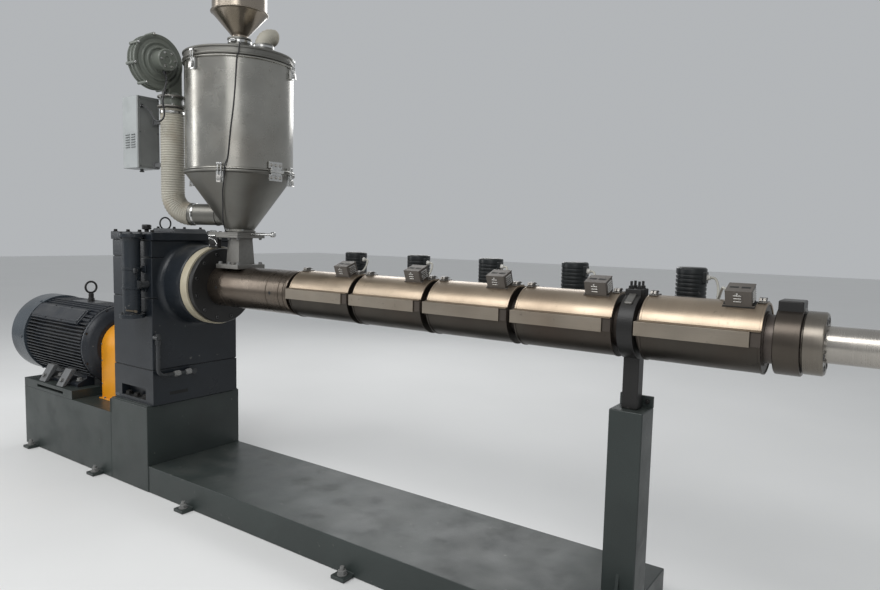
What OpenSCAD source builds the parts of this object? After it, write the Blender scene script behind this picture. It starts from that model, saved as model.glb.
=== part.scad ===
// Single-screw plastic extruder with a hopper dryer, in millimetres.
// The origin is on the floor below the feed throat, +X runs to the die end, -Y is the operator side.

/* [Screw line] */
// Height of the screw axis above the floor
axis_h = 1100; // [1000:10:1250]
// Outer diameter of the barrel
barrel_d = 150; // [120:2:170]
// Bore of the melt channel
melt_bore = 40; // [20:1:60]

/* [Heating zones] */
// Start of the first zone cover, from the feed throat
zone_start = 482; // [476:1:520]
// Pitch from one zone to the next
zone_pitch = 395; // [380:1:430]
// Length of one zone cover
cover_len = 366; // [330:1:372]
// Outer diameter of a zone cover
cover_d = 223; // [205:1:240]
// Sheet thickness of a zone cover
cover_wall = 4; // [2:0.5:6]
// Extra gap for the support between the last two zones
support_gap = 62; // [55:1:90]
// Height of the strip that closes the cover joint
strip_h = 50; // [30:1:60]
// How far the joint strip stands proud of the cover
strip_proud = 8; // [4:1:14]
// Length of a zone terminal box
box_w = 76; // [60:1:90]
// Depth of a zone terminal box
box_depth = 65; // [50:1:80]
// Height of a zone terminal box above the cover
box_h = 49; // [30:1:60]
// Lean of the terminal boxes towards the operator, in degrees
box_lean = 20; // [0:1:30]

/* [Cooling blowers] */
// Distance of the blower axes behind the screw axis
blower_y = 290; // [270:1:330]
// Diameter of the blower volute
volute_d = 210; // [170:1:220]
// Width of the blower volute
volute_w = 70; // [50:1:90]
// Diameter of the blower motor
fan_motor_d = 108; // [90:1:120]
// Height of the blower motor
fan_motor_h = 165; // [120:1:200]

/* [Feed section] */
// Diameter of the feed section
feed_d = 212; // [190:1:214]
// Half of the hole under the hopper, side to side
throat_half = 34; // [20:1:38]
// Side of the square plate on the feed throat
throat_plate = 172; // [140:1:190]
// Side of the square neck below the slide gate
neck_side = 84; // [78:1:100]
// Height of the slide gate's underside above the screw axis
gate_up = 266; // [250:1:300]

/* [Gearbox] */
// Distance of the gearbox face behind the feed throat
gear_back = 375; // [350:1:400]
// Length of the gearbox
gear_len = 370; // [330:1:420]
// Width of the gearbox
gear_w = 530; // [480:2:560]
// Height of the gearbox top above the screw axis
gear_up = 272; // [250:1:300]
// Thickness of the gearbox top cover
gear_lid_t = 42; // [20:1:60]
// Diameter of the thrust bearing housing
thrust_d = 420; // [400:2:440]
// Diameter of the spacer ring
spacer_d = 410; // [380:2:440]
// Diameter of the bolted barrel flange
flange_d = 356; // [320:2:380]

/* [Main motor] */
// Height of the motor shaft above the slide plate
shaft_up = 247; // [245:1:270]
// Diameter of the motor's fan cowl
cowl_d = 512; // [500:2:524]
// Length of the motor's fan cowl
cowl_len = 190; // [150:1:230]
// Length of the motor's finned frame
frame_len = 694; // [640:1:740]
// Outer size of the motor's fins, side to side
fin_span = 488; // [470:2:498]
// Distance from one fin to the next
fin_pitch = 20; // [16:1:26]
// Length of the guard between motor and gearbox
guard_len = 355; // [300:1:400]

/* [Base] */
// Width of the base over its side plates
base_w = 586; // [560:2:620]
// Length of the base behind the gearbox
base_len = 1030; // [980:1:1080]
// Height of the plinth below the barrel
plinth_h = 141; // [110:1:180]
// Height of the base below the gearbox
gear_base_h = 461; // [440:1:480]
// Height of the base below the motor
motor_base_h = 373; // [350:1:390]
// Thickness of the slide plate below the motor
slide_t = 52; // [40:1:60]
// Side of the post below the barrel
post_side = 118; // [90:1:140]
// Height of the post's top below the screw axis
post_drop = 285; // [240:1:340]

/* [Die end] */
// Diameter of the barrel's head flange
head_d = 207; // [190:1:220]
// Length of the barrel's head flange
head_len = 72; // [60:1:90]
// Diameter of the clamp flange
clamp_d = 189; // [180:1:205]
// Length of the clamp flange
clamp_len = 55; // [40:1:70]
// Diameter of the melt pipe
pipe_d = 110; // [90:1:118]
// Length of the melt pipe between its flanges
pipe_len = 205; // [150:1:260]

/* [Hopper dryer] */
// Diameter of the dryer drum
drum_d = 526; // [480:2:560]
// Height of the dryer's cone
cone_h = 286; // [250:1:320]
// Height of the drum between seam and rim
drum_h = 528; // [470:1:590]
// Wall of the insulated drum
drum_wall = 24; // [15:1:30]
// Height of the flat skirt of the lid
lid_h = 44; // [30:1:60]
// Diameter of the hot air hose
hose_d = 118; // [100:1:124]
// Distance of the hose from the drum's axis along the line
hose_back = 340; // [330:1:360]
// Distance of the hose from the drum's axis towards the operator
hose_out = 158; // [150:1:175]
// Diameter of the hot air blower's volute
air_volute_d = 264; // [220:2:280]

/* [Vacuum receiver] */
// Diameter of the vacuum receiver
receiver_d = 265; // [240:1:300]
// Height of the receiver's cone
receiver_cone_h = 118; // [100:1:140]
// Length of the receiver's body
receiver_len = 330; // [250:5:420]

/* [Hidden] */
$fn = 64;
fit = 0.3;
ZONES = 5;

// Places along the screw line
function zone_x(i) = zone_start + i * zone_pitch + (i == ZONES - 1 ? support_gap : 0);
last_cover_end = zone_x(ZONES - 1) + cover_len;
support_x = (zone_x(ZONES - 2) + cover_len + zone_x(ZONES - 1)) / 2;
support_t = 55;
gear_x1 = -gear_back;
gear_x0 = gear_x1 - gear_len;
spacer_t = 54;
flange_t = 33;
feed_x0 = -135;
flange_x0 = feed_x0 - flange_t;
spacer_x0 = flange_x0 - spacer_t;
feed_x1 = zone_start - 27;
head_x0 = last_cover_end + 28;
head_gap = 4;
clamp_x0 = head_x0 + head_len + head_gap;
pipe_x0 = clamp_x0 + clamp_len;
end_flange_t = 30;
end_flange_d = 190;
end_flange_x1 = pipe_x0 + pipe_len + end_flange_t;

// Heights and places of the gearbox, the motor and the base
gear_top = axis_h + gear_up;
gear_body_top = gear_top - gear_lid_t;
gear_base_x1 = gear_x1 - 17;
plinth_x1 = support_x + post_side / 2;
post_top = axis_h - post_drop;
slide_top = motor_base_h + slide_t;
shaft_h = slide_top + shaft_up;
shield_len = 60;
shield_x1 = gear_x0 - guard_len;
motor_x1 = shield_x1 - shield_len;
motor_body_x0 = motor_x1 - frame_len;
motor_x0 = motor_body_x0 - cowl_len;
base_x0 = gear_x0 - base_len;

// Heights and places of the dryer
drum_r = drum_d / 2;
rim_out = 9;
rim_t = 12;
cone_wall = 4;
cone_tip_r = 62;
gate_t = 16;
gate_z = axis_h + gate_up;
cone_z0 = gate_z + gate_t;
cone_z1 = cone_z0 + cone_h;
seam_h = cone_z1 + rim_t;
rim_h = seam_h + drum_h;
lid_dome = 40;
dome_top = rim_h + lid_h + lid_dome;
receiver_h = dome_top + 52;
inlet_z = cone_z0 + 88;
hose_x = -hose_back;
hose_y = -hose_out;
hose_reach = norm([hose_x, hose_y]);
hose_turn = atan2(hose_y, hose_x);
hose_bend_r = 105;
hose_top_z = rim_h - 200;
air_y = hose_y - 90;
air_z = rim_h + 12;

// A cylinder along X on the screw axis
module screw_cyl(d, x0, x1) {
    translate([x0, 0, axis_h]) rotate([0, 90, 0]) cylinder(d = d, h = x1 - x0);
}

// A box given by its middle in Y and its ends in X and Z
module slab(x0, x1, w, z0, z1) {
    translate([x0, -w / 2, z0]) cube([x1 - x0, w, z1 - z0]);
}

// A square pyramid stump with level ends, around the Z axis
module square_taper(side0, side1, h) {
    rotate([0, 0, 45]) cylinder(d1 = side0 * sqrt(2), d2 = side1 * sqrt(2), h = h, $fn = 4);
}

// A round tube along a route. The route never runs along side, which sets the first point of each ring.
function unit(v) = v / norm(v);
function route_way(route, i) = unit(route[min(i + 1, len(route) - 1)] - route[max(i - 1, 0)]);
function tube_ring(route, i, r, side, n) =
    let (way = route_way(route, i), u = unit(cross(way, side)), w = cross(way, u))
    [for (k = [0:n - 1]) route[i] + r * (cos(k * 360 / n) * u + sin(k * 360 / n) * w)];

module tube(route, d, side, n = 8) {
    last = len(route) - 1;
    points = [for (i = [0:last]) each tube_ring(route, i, d / 2, side, n)];
    near = [for (i = [0:last - 1], k = [0:n - 1]) [i * n + k, (i + 1) * n + k, i * n + (k + 1) % n]];
    far = [for (i = [0:last - 1], k = [0:n - 1])
        [i * n + (k + 1) % n, (i + 1) * n + k, (i + 1) * n + (k + 1) % n]];
    start = [for (k = [0:n - 1]) k];
    end = [for (k = [n - 1:-1:0]) last * n + k];
    polyhedron(points, concat([start], near, far, [end]));
}

// Base and supports

module drive_base() {
    rebate = 6;
    color("#4d5855") {
        slab(base_x0, gear_x0, base_w, 0, motor_base_h);
        slab(gear_x0, gear_base_x1, base_w, 0, gear_base_h - rebate);
        slab(gear_x0 + rebate, gear_base_x1 - rebate, base_w - 2 * rebate, gear_base_h - rebate, gear_base_h);
    }
}

module barrel_plinth() {
    color("#454f4c") slab(gear_base_x1, plinth_x1, base_w - 6, 0, plinth_h);
}

lug_places = [base_x0 + 135, gear_x0 - 127, -40, 1035, plinth_x1 - 237];

module floor_lugs() {
    lug_len = 72;
    lug_out = 62;
    lug_t = 16;
    lug_hole = 26;
    color("#3f4845")
        for (x = lug_places, side = [-1, 1])
            difference() {
                y0 = (x < gear_base_x1 ? base_w : base_w - 6) / 2;
                translate([x - lug_len / 2, side > 0 ? y0 : -y0 - lug_out, 0])
                    cube([lug_len, lug_out, lug_t]);
                translate([x, side * (y0 + lug_out / 2), -1]) cylinder(d = lug_hole, h = lug_t + 2);
            }
}

module motor_slide() {
    margin = 3;
    slide_len = 598;
    slot = [322, 15];
    slot_z = 17;
    slot_lead = 172;
    slot_depth = 30;
    color("#4b5654")
        difference() {
            slab(base_x0 + margin, base_x0 + margin + slide_len, base_w, motor_base_h, slide_top);
            for (side = [-1, 1])
                translate([base_x0 + slot_lead, side * base_w / 2 - slot_depth, motor_base_h + slot_z])
                    cube([slot[0], 2 * slot_depth, slot[1]]);
        }
}

// Main motor: a round cast core, fins on all four sides that end on one round outline, a dished
// shield at the shaft end and feet with sloping straps

core_d = 430;
core_end_d = 392;
fin_t = 7;
fin_rows = 9;
core_inset = 58;
pad_depth = 14;

module fin_rows_2d() {
    intersection() {
        for (i = [-fin_rows:fin_rows]) {
            translate([-fin_span / 2, i * fin_pitch - fin_t / 2]) square([fin_span, fin_t]);
            translate([i * fin_pitch - fin_t / 2, 0]) square([fin_t, fin_span / 2]);
        }
        circle(d = fin_span + 8);
    }
}

module motor_core(d, x0, x1) {
    translate([x0, 0, shaft_h]) rotate([0, 90, 0]) cylinder(d = d, h = x1 - x0);
}

module shaft_end_shield() {
    rim_r = fin_span / 2 - 2;
    rim = 16;
    face_r = 170;
    dish = 30;
    translate([motor_x1, 0, shaft_h]) rotate([0, 90, 0])
        rotate_extrude()
            polygon([[0, 0], [rim_r, 0], [rim_r, rim], [rim_r - rim, dish], [face_r, shield_len],
                [0, shield_len]]);
}

module motor_foot() {
    inner_y = 120;
    outer_y = 225;
    web_y = 168;
    pad_h = 24;
    web_top = shaft_h - 120;
    length = 400;
    translate([base_x0 + 135, 0, 0]) rotate([90, 0, 90])
        linear_extrude(length)
            polygon([[inner_y, slide_top], [outer_y, slide_top], [outer_y, slide_top + pad_h],
                [web_y, slide_top + 2 * pad_h], [web_y, web_top], [inner_y, web_top]]);
}

module motor_strap() {
    width = 75;
    low = 282;
    high = 222;
    rise = 100;
    thick = 24;
    rotate([90, 0, 90]) linear_extrude(width)
        polygon([[low - thick, slide_top], [low, slide_top], [high, slide_top + rise],
            [high - 2 * thick, slide_top + rise]]);
}

module motor_frame() {
    strap_places = [base_x0 + 169, base_x0 + 387];
    pad_flat = 120;
    color("#2c333b") {
        difference() {
            union() {
                translate([motor_body_x0, 0, shaft_h]) rotate([90, 0, 90])
                    linear_extrude(frame_len) fin_rows_2d();
                motor_core(core_end_d, motor_body_x0, motor_x1);
                motor_core(core_d, motor_body_x0 + core_inset, motor_x1 - core_inset);
            }
            translate([motor_body_x0 - 1, -pad_flat / 2, shaft_h + fin_span / 2 - pad_depth])
                cube([frame_len + 2, pad_flat, pad_depth + 6]);
        }
        shaft_end_shield();
        for (side = [0, 1]) mirror([0, side, 0]) {
            motor_foot();
            for (x = strap_places) translate([x, 0, 0]) motor_strap();
        }
    }
}

module fan_cowl() {
    bend = 22;
    grille_depth = 10;
    grille_rings = [60, 90, 120, 150, 180];
    grille_gap = 14;
    spokes = 8;
    spoke_w = 12;
    r = cowl_d / 2;
    color("#3a434b")
        translate([motor_x0, 0, shaft_h]) rotate([0, 90, 0])
            difference() {
                rotate_extrude()
                    difference() {
                        union() {
                            translate([0, bend]) square([r, cowl_len - bend]);
                            square([r - bend, bend]);
                            translate([r - bend, bend]) circle(r = bend);
                        }
                        translate([-r, 0]) square([r, cowl_len]);
                    }
                difference() {
                    for (ring_r = grille_rings)
                        translate([0, 0, -1]) difference() {
                            cylinder(r = ring_r + grille_gap / 2, h = grille_depth);
                            translate([0, 0, -1]) cylinder(r = ring_r - grille_gap / 2, h = grille_depth + 2);
                        }
                    for (i = [0:spokes / 2 - 1])
                        rotate([0, 0, i * 360 / spokes]) translate([-r, -spoke_w / 2, -2])
                            cube([2 * r, spoke_w, grille_depth + 3]);
                }
            }
}

module terminal_cover() {
    length = 640;
    width = 220;
    thick = 14;
    color("#2f373f")
        translate([motor_body_x0 + 6, 0, shaft_h]) rotate([45, 0, 0])
            translate([0, -width / 2, fin_span / 2 + 4 + fit]) cube([length, width, thick]);
}

module guard_section(w, foot) {
    translate([-w / 2, foot]) square([w, shaft_h - foot]);
    translate([0, shaft_h]) circle(d = w);
}

module coupling_guard() {
    guard_w = 300;
    sheet = 4;
    foot_w = 24;
    foot_t = 5;
    color("#e8a21c")
        translate([shield_x1, 0, 0]) rotate([90, 0, 90]) {
            linear_extrude(guard_len)
                difference() {
                    guard_section(guard_w, motor_base_h);
                    guard_section(guard_w - 2 * sheet, motor_base_h - 1);
                }
            for (side = [0, 1]) mirror([side, 0, 0])
                translate([guard_w / 2 - sheet, motor_base_h, 0]) cube([foot_w, foot_t, guard_len]);
        }
}

// Gearbox

cover_out = 16;

module gearbox_housing() {
    split_heights = [gear_base_h + 189, axis_h - 70, axis_h + 142];
    split_h = 5;
    split_depth = 4;
    pocket = [230, 45, 60];
    pocket_up = 22;
    color("#39444c")
        difference() {
            slab(gear_x0, gear_x1, gear_w, gear_base_h, gear_body_top);
            for (z = split_heights)
                difference() {
                    slab(gear_x0 - 1, gear_x1 + 1, gear_w + 2, z, z + split_h);
                    slab(gear_x0 + split_depth, gear_x1 - split_depth, gear_w - 2 * split_depth,
                        z - 1, z + split_h + 1);
                }
            for (side = [-1, 1])
                translate([(gear_x0 + gear_x1 - pocket[0]) / 2, side * gear_w / 2 - pocket[1],
                    gear_base_h + pocket_up])
                    cube([pocket[0], 2 * pocket[1], pocket[2]]);
        }
}

module gearbox_cover() {
    hatch_h = 22;
    side_out = 6;
    hatch_x0 = gear_x0 + 130;
    hatch_x1 = gear_x1 - 60;
    hatch_w = 200;
    hatch_taper = 26;
    color("#333c47") {
        slab(gear_x0 - side_out, gear_x1 + cover_out, gear_w + 2 * side_out, gear_body_top, gear_top);
        translate([0, hatch_w / 2, 0]) rotate([90, 0, 0]) linear_extrude(hatch_w)
            polygon([[hatch_x0 - hatch_taper, gear_top], [hatch_x0, gear_top + hatch_h],
                [hatch_x1, gear_top + hatch_h], [hatch_x1 + hatch_taper, gear_top]]);
    }
}

// An eye bolt whose ring faces along X
module eye_bolt(ring_d, rod_d, shank_h) {
    collar_d = rod_d * 2.6;
    cylinder(d = collar_d, h = shank_h);
    translate([0, 0, shank_h + ring_d / 2 - rod_d * 0.4]) rotate([0, 90, 0])
        rotate_extrude() translate([(ring_d - rod_d) / 2, 0]) circle(d = rod_d, $fn = 24);
}

eye_x = gear_x0 + 86;
motor_eye_x = motor_x1 - 330;
motor_flat_z = shaft_h + fin_span / 2 - pad_depth;

module lifting_eyes() {
    gear_eye = [76, 9, 14];
    motor_eye = [84, 13, 66];
    color("#20262b") {
        translate([eye_x, 0, gear_top]) eye_bolt(gear_eye[0], gear_eye[1], gear_eye[2]);
        translate([motor_eye_x, 0, motor_flat_z]) eye_bolt(motor_eye[0], motor_eye[1], motor_eye[2]);
    }
}

module breather() {
    stem = [24, 14];
    cap = [52, 28];
    color("#2b3138")
        translate([gear_x0 + 45, -90, gear_top]) {
            cylinder(d = stem[0], h = stem[1]);
            translate([0, 0, stem[1]]) cylinder(d = cap[0], h = cap[1]);
        }
}

cooler_x = gear_x1 - 80;
cooler_out = 62;
cooler_y = -gear_w / 2 - cooler_out;
cooler_d = 88;
cooler_top = gear_top - 8;
cooler_len = 434;

module oil_cooler() {
    end_d = 124;
    end_t = 20;
    band_out = 3;
    band_h = 10;
    bands = [150, 248];
    arm_w = 46;
    arm_h = 22;
    union_d = 44;
    block = [28, 24, 44];
    z0 = cooler_top - cooler_len;
    color("#3f4a52")
        translate([cooler_x, cooler_y, z0]) {
            cylinder(d = cooler_d, h = cooler_len);
            cylinder(d = end_d, h = end_t);
            translate([0, 0, cooler_len - end_t]) cylinder(d = end_d, h = end_t);
            translate([0, 0, cooler_len - 2 * end_t]) cylinder(d1 = cooler_d, d2 = end_d - 14, h = end_t);
            for (z = bands) {
                translate([0, 0, z]) cylinder(d = cooler_d + 2 * band_out, h = band_h);
                translate([-arm_w / 2, 0, z - arm_h / 2]) cube([arm_w, cooler_out, arm_h]);
            }
            translate([cooler_d / 2 + 2, 0, bands[0] + arm_h]) rotate([-90, 0, 0])
                cylinder(d = union_d, h = cooler_out);
            translate([(cooler_d - block[0]) / 2, 0, bands[0]]) cube(block);
        }
}

module pipe_bend(d, r) {
    rotate_extrude(angle = 90) translate([r, 0]) circle(d = d, $fn = 24);
}

module oil_pipes() {
    pipe = 20;
    bend = 36;
    out = 30;
    pipe_y = -gear_w / 2 + 12;
    top_z = gear_base_h + 385;
    low_z = gear_base_h + 162;
    run = 190;
    union_d = 32;
    union_len = 26;
    unions = [60, 130];
    color("#30383f") {
        translate([gear_x1 + out, pipe_y, low_z + bend]) cylinder(d = pipe, h = top_z - low_z - bend);
        translate([gear_x1, pipe_y, top_z - pipe]) rotate([0, 90, 0])
            cylinder(d = pipe + 6, h = out + pipe / 2);
        translate([gear_x1 + out, pipe_y + bend, low_z + bend]) rotate([90, 0, 90]) rotate([0, 0, 180])
            pipe_bend(pipe, bend);
        translate([gear_x1 + out, pipe_y + bend, low_z]) rotate([-90, 0, 0]) cylinder(d = pipe, h = run);
        for (y = unions)
            translate([gear_x1 + out, pipe_y + bend + y, low_z]) rotate([-90, 0, 0])
                cylinder(d = union_d, h = union_len, $fn = 6);
        translate([gear_x1, pipe_y + bend + run - pipe, low_z]) rotate([0, 90, 0])
            cylinder(d = pipe + 14, h = out + pipe);
    }
}

module bearing_housing() {
    flare = 30;
    length = spacer_x0 - gear_x1;
    color("#333d45")
        translate([gear_x1, 0, axis_h]) rotate([0, 90, 0])
            rotate_extrude()
                difference() {
                    square([thrust_d / 2 + flare, length]);
                    translate([thrust_d / 2 + flare, flare]) circle(r = flare);
                    translate([thrust_d / 2, flare]) square([flare + 1, length]);
                }
}

module spacer_ring() {
    color("#d8ceb0") screw_cyl(spacer_d, spacer_x0, flange_x0);
}

module rear_flange() {
    bolt_count = 12;
    counterbore = [26, 8];
    bolt_in = 32;
    color("#343332")
        difference() {
            screw_cyl(flange_d, flange_x0, feed_x0);
            for (i = [0:bolt_count - 1])
                translate([feed_x0 - counterbore[1], 0, axis_h]) rotate([(i + 0.5) * 360 / bolt_count, 0, 0])
                    translate([0, 0, flange_d / 2 - bolt_in]) rotate([0, 90, 0])
                        cylinder(d = counterbore[0], h = counterbore[1] + 1);
        }
}

// Feed section and hopper base

throat_top = axis_h + feed_d / 2 - 8;

module feed_section() {
    throat_len = 50;
    seat_gap = 2;
    grooves = [-32, 313, 400, 432];
    groove_w = 3;
    groove_depth = 2;
    spanner_holes = [-60, 345];
    spanner_d = 16;
    color("#5b4e44")
        difference() {
            screw_cyl(feed_d, feed_x0, feed_x1);
            for (x = grooves)
                difference() {
                    screw_cyl(feed_d + 10, x, x + groove_w);
                    screw_cyl(feed_d - 2 * groove_depth, x - 1, x + groove_w + 1);
                }
            slab(-throat_len, throat_len, 2 * throat_half, axis_h, axis_h + feed_d);
            slab(-throat_plate / 2 - seat_gap, throat_plate / 2 + seat_gap, throat_plate + 2 * seat_gap,
                throat_top, axis_h + feed_d);
            for (x = spanner_holes)
                translate([x, 0, axis_h]) rotate([90, 0, 0]) cylinder(d = spanner_d, h = feed_d);
        }
}

module feed_neck() {
    plate_t = 22;
    flange_h = 12;
    spread = 16;
    duct_wall = 6;
    bore = neck_side - 2 * duct_wall;
    color("#6d6c67")
        difference() {
            union() {
                slab(-throat_plate / 2, throat_plate / 2, throat_plate, throat_top, throat_top + plate_t);
                translate([0, 0, throat_top])
                    square_taper(neck_side + spread, neck_side, gate_z - throat_top);
                slab(-throat_plate / 2, throat_plate / 2, throat_plate, gate_z - flange_h, gate_z);
            }
            slab(-bore / 2, bore / 2, bore, throat_top - 1, gate_z + 1);
        }
}

module slide_gate() {
    blade_out = 66;
    rod = [12, 150];
    knob = [26, 24];
    catch = [74, 30, 66];
    color("#8d8d88") {
        slab(-throat_plate / 2 - blade_out, throat_plate / 2, throat_plate, gate_z, cone_z0);
        translate([throat_plate / 2, 0, gate_z + gate_t / 2]) rotate([0, 90, 0])
            cylinder(d = rod[0], h = rod[1]);
        translate([throat_plate / 2 + rod[1], 0, gate_z + gate_t / 2]) rotate([0, 90, 0])
            cylinder(d = knob[0], h = knob[1]);
        translate([-throat_plate / 2 - blade_out, -throat_plate / 2, gate_z - catch[2]]) cube(catch);
    }
}

// Barrel, zone covers and cooling

module barrel_tube() {
    color("#2a2725") screw_cyl(barrel_d, feed_x1, head_x0);
}

box_x = 250;
box_front = 19;
box_sink = 12;

module box_space(i, foot, grow) {
    translate([zone_x(i) + box_x - grow, 0, axis_h]) rotate([box_lean, 0, 0])
        translate([0, -box_front - grow, foot])
            cube([box_w + 2 * grow, box_depth + 2 * grow, cover_d / 2 + box_h - foot + grow]);
}

module zone_cover(i) {
    notch_gap = 3;
    x0 = zone_x(i);
    x1 = x0 + cover_len;
    color("#a89c8a")
        difference() {
            screw_cyl(cover_d, x0, x1);
            screw_cyl(barrel_d + 2 * fit, x0 - 1, x1 + 1);
            screw_cyl(cover_d - 2 * cover_wall, x0 + cover_wall, x1 - cover_wall);
            if (i == ZONES - 1) box_space(i, barrel_d / 2, notch_gap);
        }
}

module joint_strips() {
    lead = 12;
    bite = 14;
    lift = 8;
    end_w = 30;
    end_proud = 3;
    length = cover_len - end_w + lead;
    z0 = axis_h - strip_h / 2 + lift;
    color("#a49a88")
        for (i = [0:ZONES - 1])
            difference() {
                translate([zone_x(i) - lead, -cover_d / 2, z0]) {
                    translate([0, -strip_proud, 0]) cube([length, strip_proud + bite, strip_h]);
                    translate([length, -end_proud, 0]) cube([end_w, end_proud + bite, strip_h]);
                }
                screw_cyl(cover_d + 2 * fit, zone_x(i) - lead - 1, zone_x(i) + cover_len + 1);
            }
}

module cover_latches() {
    latch_w = 26;
    latch_len = 54;
    latch_in = 4;
    base_h = 16;
    lever_d = 13;
    color("#77716a")
        for (i = [0:ZONES - 1], x = [latch_in, cover_len - latch_in - latch_w])
            difference() {
                translate([zone_x(i) + x, -latch_len / 2, axis_h + cover_d / 2 - 6]) {
                    cube([latch_w, latch_len, base_h]);
                    translate([latch_w / 2, 0, base_h]) rotate([-90, 0, 0])
                        cylinder(d = lever_d, h = latch_len);
                }
                screw_cyl(cover_d + 2 * fit, zone_x(i) - 1, zone_x(i) + cover_len + 1);
            }
}

module terminal_boxes() {
    ear = [8, 16, 8];
    color("#5a5650")
        for (i = [0:ZONES - 1]) {
            seat_d = i == ZONES - 1 ? barrel_d : cover_d;
            difference() {
                box_space(i, seat_d / 2 - box_sink, 0);
                screw_cyl(seat_d + 2 * fit, zone_x(i) - 1, zone_x(i) + cover_len + 1);
            }
            difference() {
                for (x = [-ear[0], box_w])
                    translate([zone_x(i) + box_x + x, 0, axis_h]) rotate([box_lean, 0, 0])
                        translate([0, -box_front, cover_d / 2 - 3]) cube(ear);
                screw_cyl(cover_d + 2 * fit, zone_x(i) - 1, zone_x(i) + cover_len + 1);
            }
        }
}

fan_x = 54;
volute_z0 = axis_h - 38;
fan_motor_z0 = volute_z0 + volute_w;

module zone_blowers() {
    outlet = [76, 60];
    outlet_lead = 10;
    outlet_up = 5;
    flange_t = 8;
    flange_out = 9;
    flange_y = 150;
    near_y = 60;
    color("#3a3e40")
        for (i = [0:ZONES - 1])
            difference() {
                translate([zone_x(i) + fan_x, 0, volute_z0]) {
                    translate([0, blower_y, 0]) cylinder(d = volute_d, h = volute_w);
                    translate([outlet_lead, near_y, outlet_up])
                        cube([outlet[0], blower_y - near_y, outlet[1]]);
                    translate([outlet_lead - flange_out, flange_y, outlet_up - flange_out])
                        cube([outlet[0] + 2 * flange_out, flange_t, outlet[1] + 2 * flange_out]);
                }
                screw_cyl(cover_d + 2 * fit, zone_x(i) - 1, zone_x(i) + cover_len + 1);
            }
}

gland_y = blower_y - 10;
gland_up = 130;

module blower_motors() {
    rib_t = 6;
    rib_pitch = 15;
    cap_h = 24;
    bevel = 6;
    gland = [24, 16];
    color("#191b1d")
        for (i = [0:ZONES - 1])
            translate([zone_x(i) + fan_x, blower_y, fan_motor_z0]) {
                cylinder(d = fan_motor_d - 10, h = fan_motor_h - cap_h);
                for (z = [rib_t:rib_pitch:fan_motor_h - cap_h - rib_t])
                    translate([0, 0, z]) cylinder(d = fan_motor_d, h = rib_t);
                translate([0, 0, fan_motor_h - cap_h]) cylinder(d = fan_motor_d, h = cap_h - bevel);
                translate([0, 0, fan_motor_h - bevel])
                    cylinder(d1 = fan_motor_d, d2 = fan_motor_d - 2 * bevel, h = bevel);
                translate([0, gland_y - blower_y, gland_up]) rotate([0, 90, 0])
                    cylinder(d = gland[0], h = fan_motor_d / 2 + gland[1]);
            }
}

// Route of a fan lead from the motor's gland to the terminal box, from the start of its zone cover
fan_route = [
    [124.5, gland_y, 162], [137, gland_y - 1, 161], [150, gland_y - 14, 148], [162, gland_y - 44, 122],
    [170, 196, 100], [182, 150, 96], [196, 106, 112], [210, 66, 134], [222, 30, 146],
    [231, 6, 146], [240, -6, 143], [249.5, -8, 141]
];

module fan_leads() {
    lead_d = 9;
    color("#a7a49c")
        for (i = [0:ZONES - 1]) translate([zone_x(i), 0, axis_h]) tube(fan_route, lead_d, [0, 0, 1]);
}

module support_clamp() {
    column_w = 50;
    ear = [76, 34];
    stud = [18, 26];
    ear_half = 19;
    color("#2b2c2c") {
        difference() {
            union() {
                screw_cyl(cover_d, support_x - support_t / 2, support_x + support_t / 2);
                slab(support_x - support_t / 2, support_x + support_t / 2, column_w, post_top, axis_h);
                slab(support_x - support_t / 2, support_x + support_t / 2, ear[0],
                    axis_h + (cover_d - ear[1]) / 2, axis_h + (cover_d + ear[1]) / 2);
            }
            screw_cyl(barrel_d + 2 * fit, support_x - support_t, support_x + support_t);
        }
        for (y = [-ear_half, ear_half])
            translate([support_x, y, axis_h + (cover_d + ear[1]) / 2])
                cylinder(d = stud[0], h = stud[1], $fn = 6);
    }
}

module support_post() {
    foot = [150, 14];
    rib = [44, 90, 12];
    back_up = 38;
    back_t = 12;
    half = post_side / 2;
    color("#36403e") {
        slab(support_x - half, support_x + half, post_side, plinth_h, post_top);
        slab(support_x - foot[0] / 2, support_x + half, foot[0], plinth_h, plinth_h + foot[1]);
        translate([support_x - half, half - back_t, post_top]) cube([post_side, back_t, back_up]);
        for (side = [0, 1]) mirror([0, side, 0])
            translate([support_x - rib[2] / 2, half, plinth_h + foot[1]]) rotate([90, 0, 90])
                linear_extrude(rib[2]) polygon([[0, 0], [foot[0] / 2 - half, 0], [0, rib[1]]]);
    }
}

// Die end

module head_flange() {
    yoke_w = 92;
    yoke_up = 20;
    color("#4a423b")
        difference() {
            union() {
                screw_cyl(head_d, head_x0, head_x0 + head_len);
                slab(head_x0, head_x0 + head_len, yoke_w, axis_h, axis_h + head_d / 2 + yoke_up);
            }
            screw_cyl(melt_bore, head_x0 - 1, head_x0 + head_len + 1);
        }
}

module clamp_flange() {
    neck_in = 30;
    color("#8a857c")
        difference() {
            union() {
                screw_cyl(clamp_d - neck_in, head_x0 + head_len, clamp_x0);
                screw_cyl(clamp_d, clamp_x0, pipe_x0);
            }
            screw_cyl(melt_bore, head_x0, pipe_x0 + 1);
        }
}

module melt_pipe() {
    bolts = 8;
    bolt_circle = 150;
    bolt_hole = 14;
    color("#8f8a80")
        difference() {
            union() {
                screw_cyl(pipe_d, pipe_x0, end_flange_x1 - 1);
                screw_cyl(end_flange_d, end_flange_x1 - end_flange_t, end_flange_x1);
            }
            screw_cyl(melt_bore, pipe_x0 - 1, end_flange_x1 + 1);
            for (i = [0:bolts - 1])
                translate([pipe_x0, 0, axis_h]) rotate([(i + 0.5) * 360 / bolts, 0, 0])
                    translate([0, 0, bolt_circle / 2]) rotate([0, 90, 0])
                        cylinder(d = bolt_hole, h = pipe_len + end_flange_t + 1);
        }
}

// Hopper dryer

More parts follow.
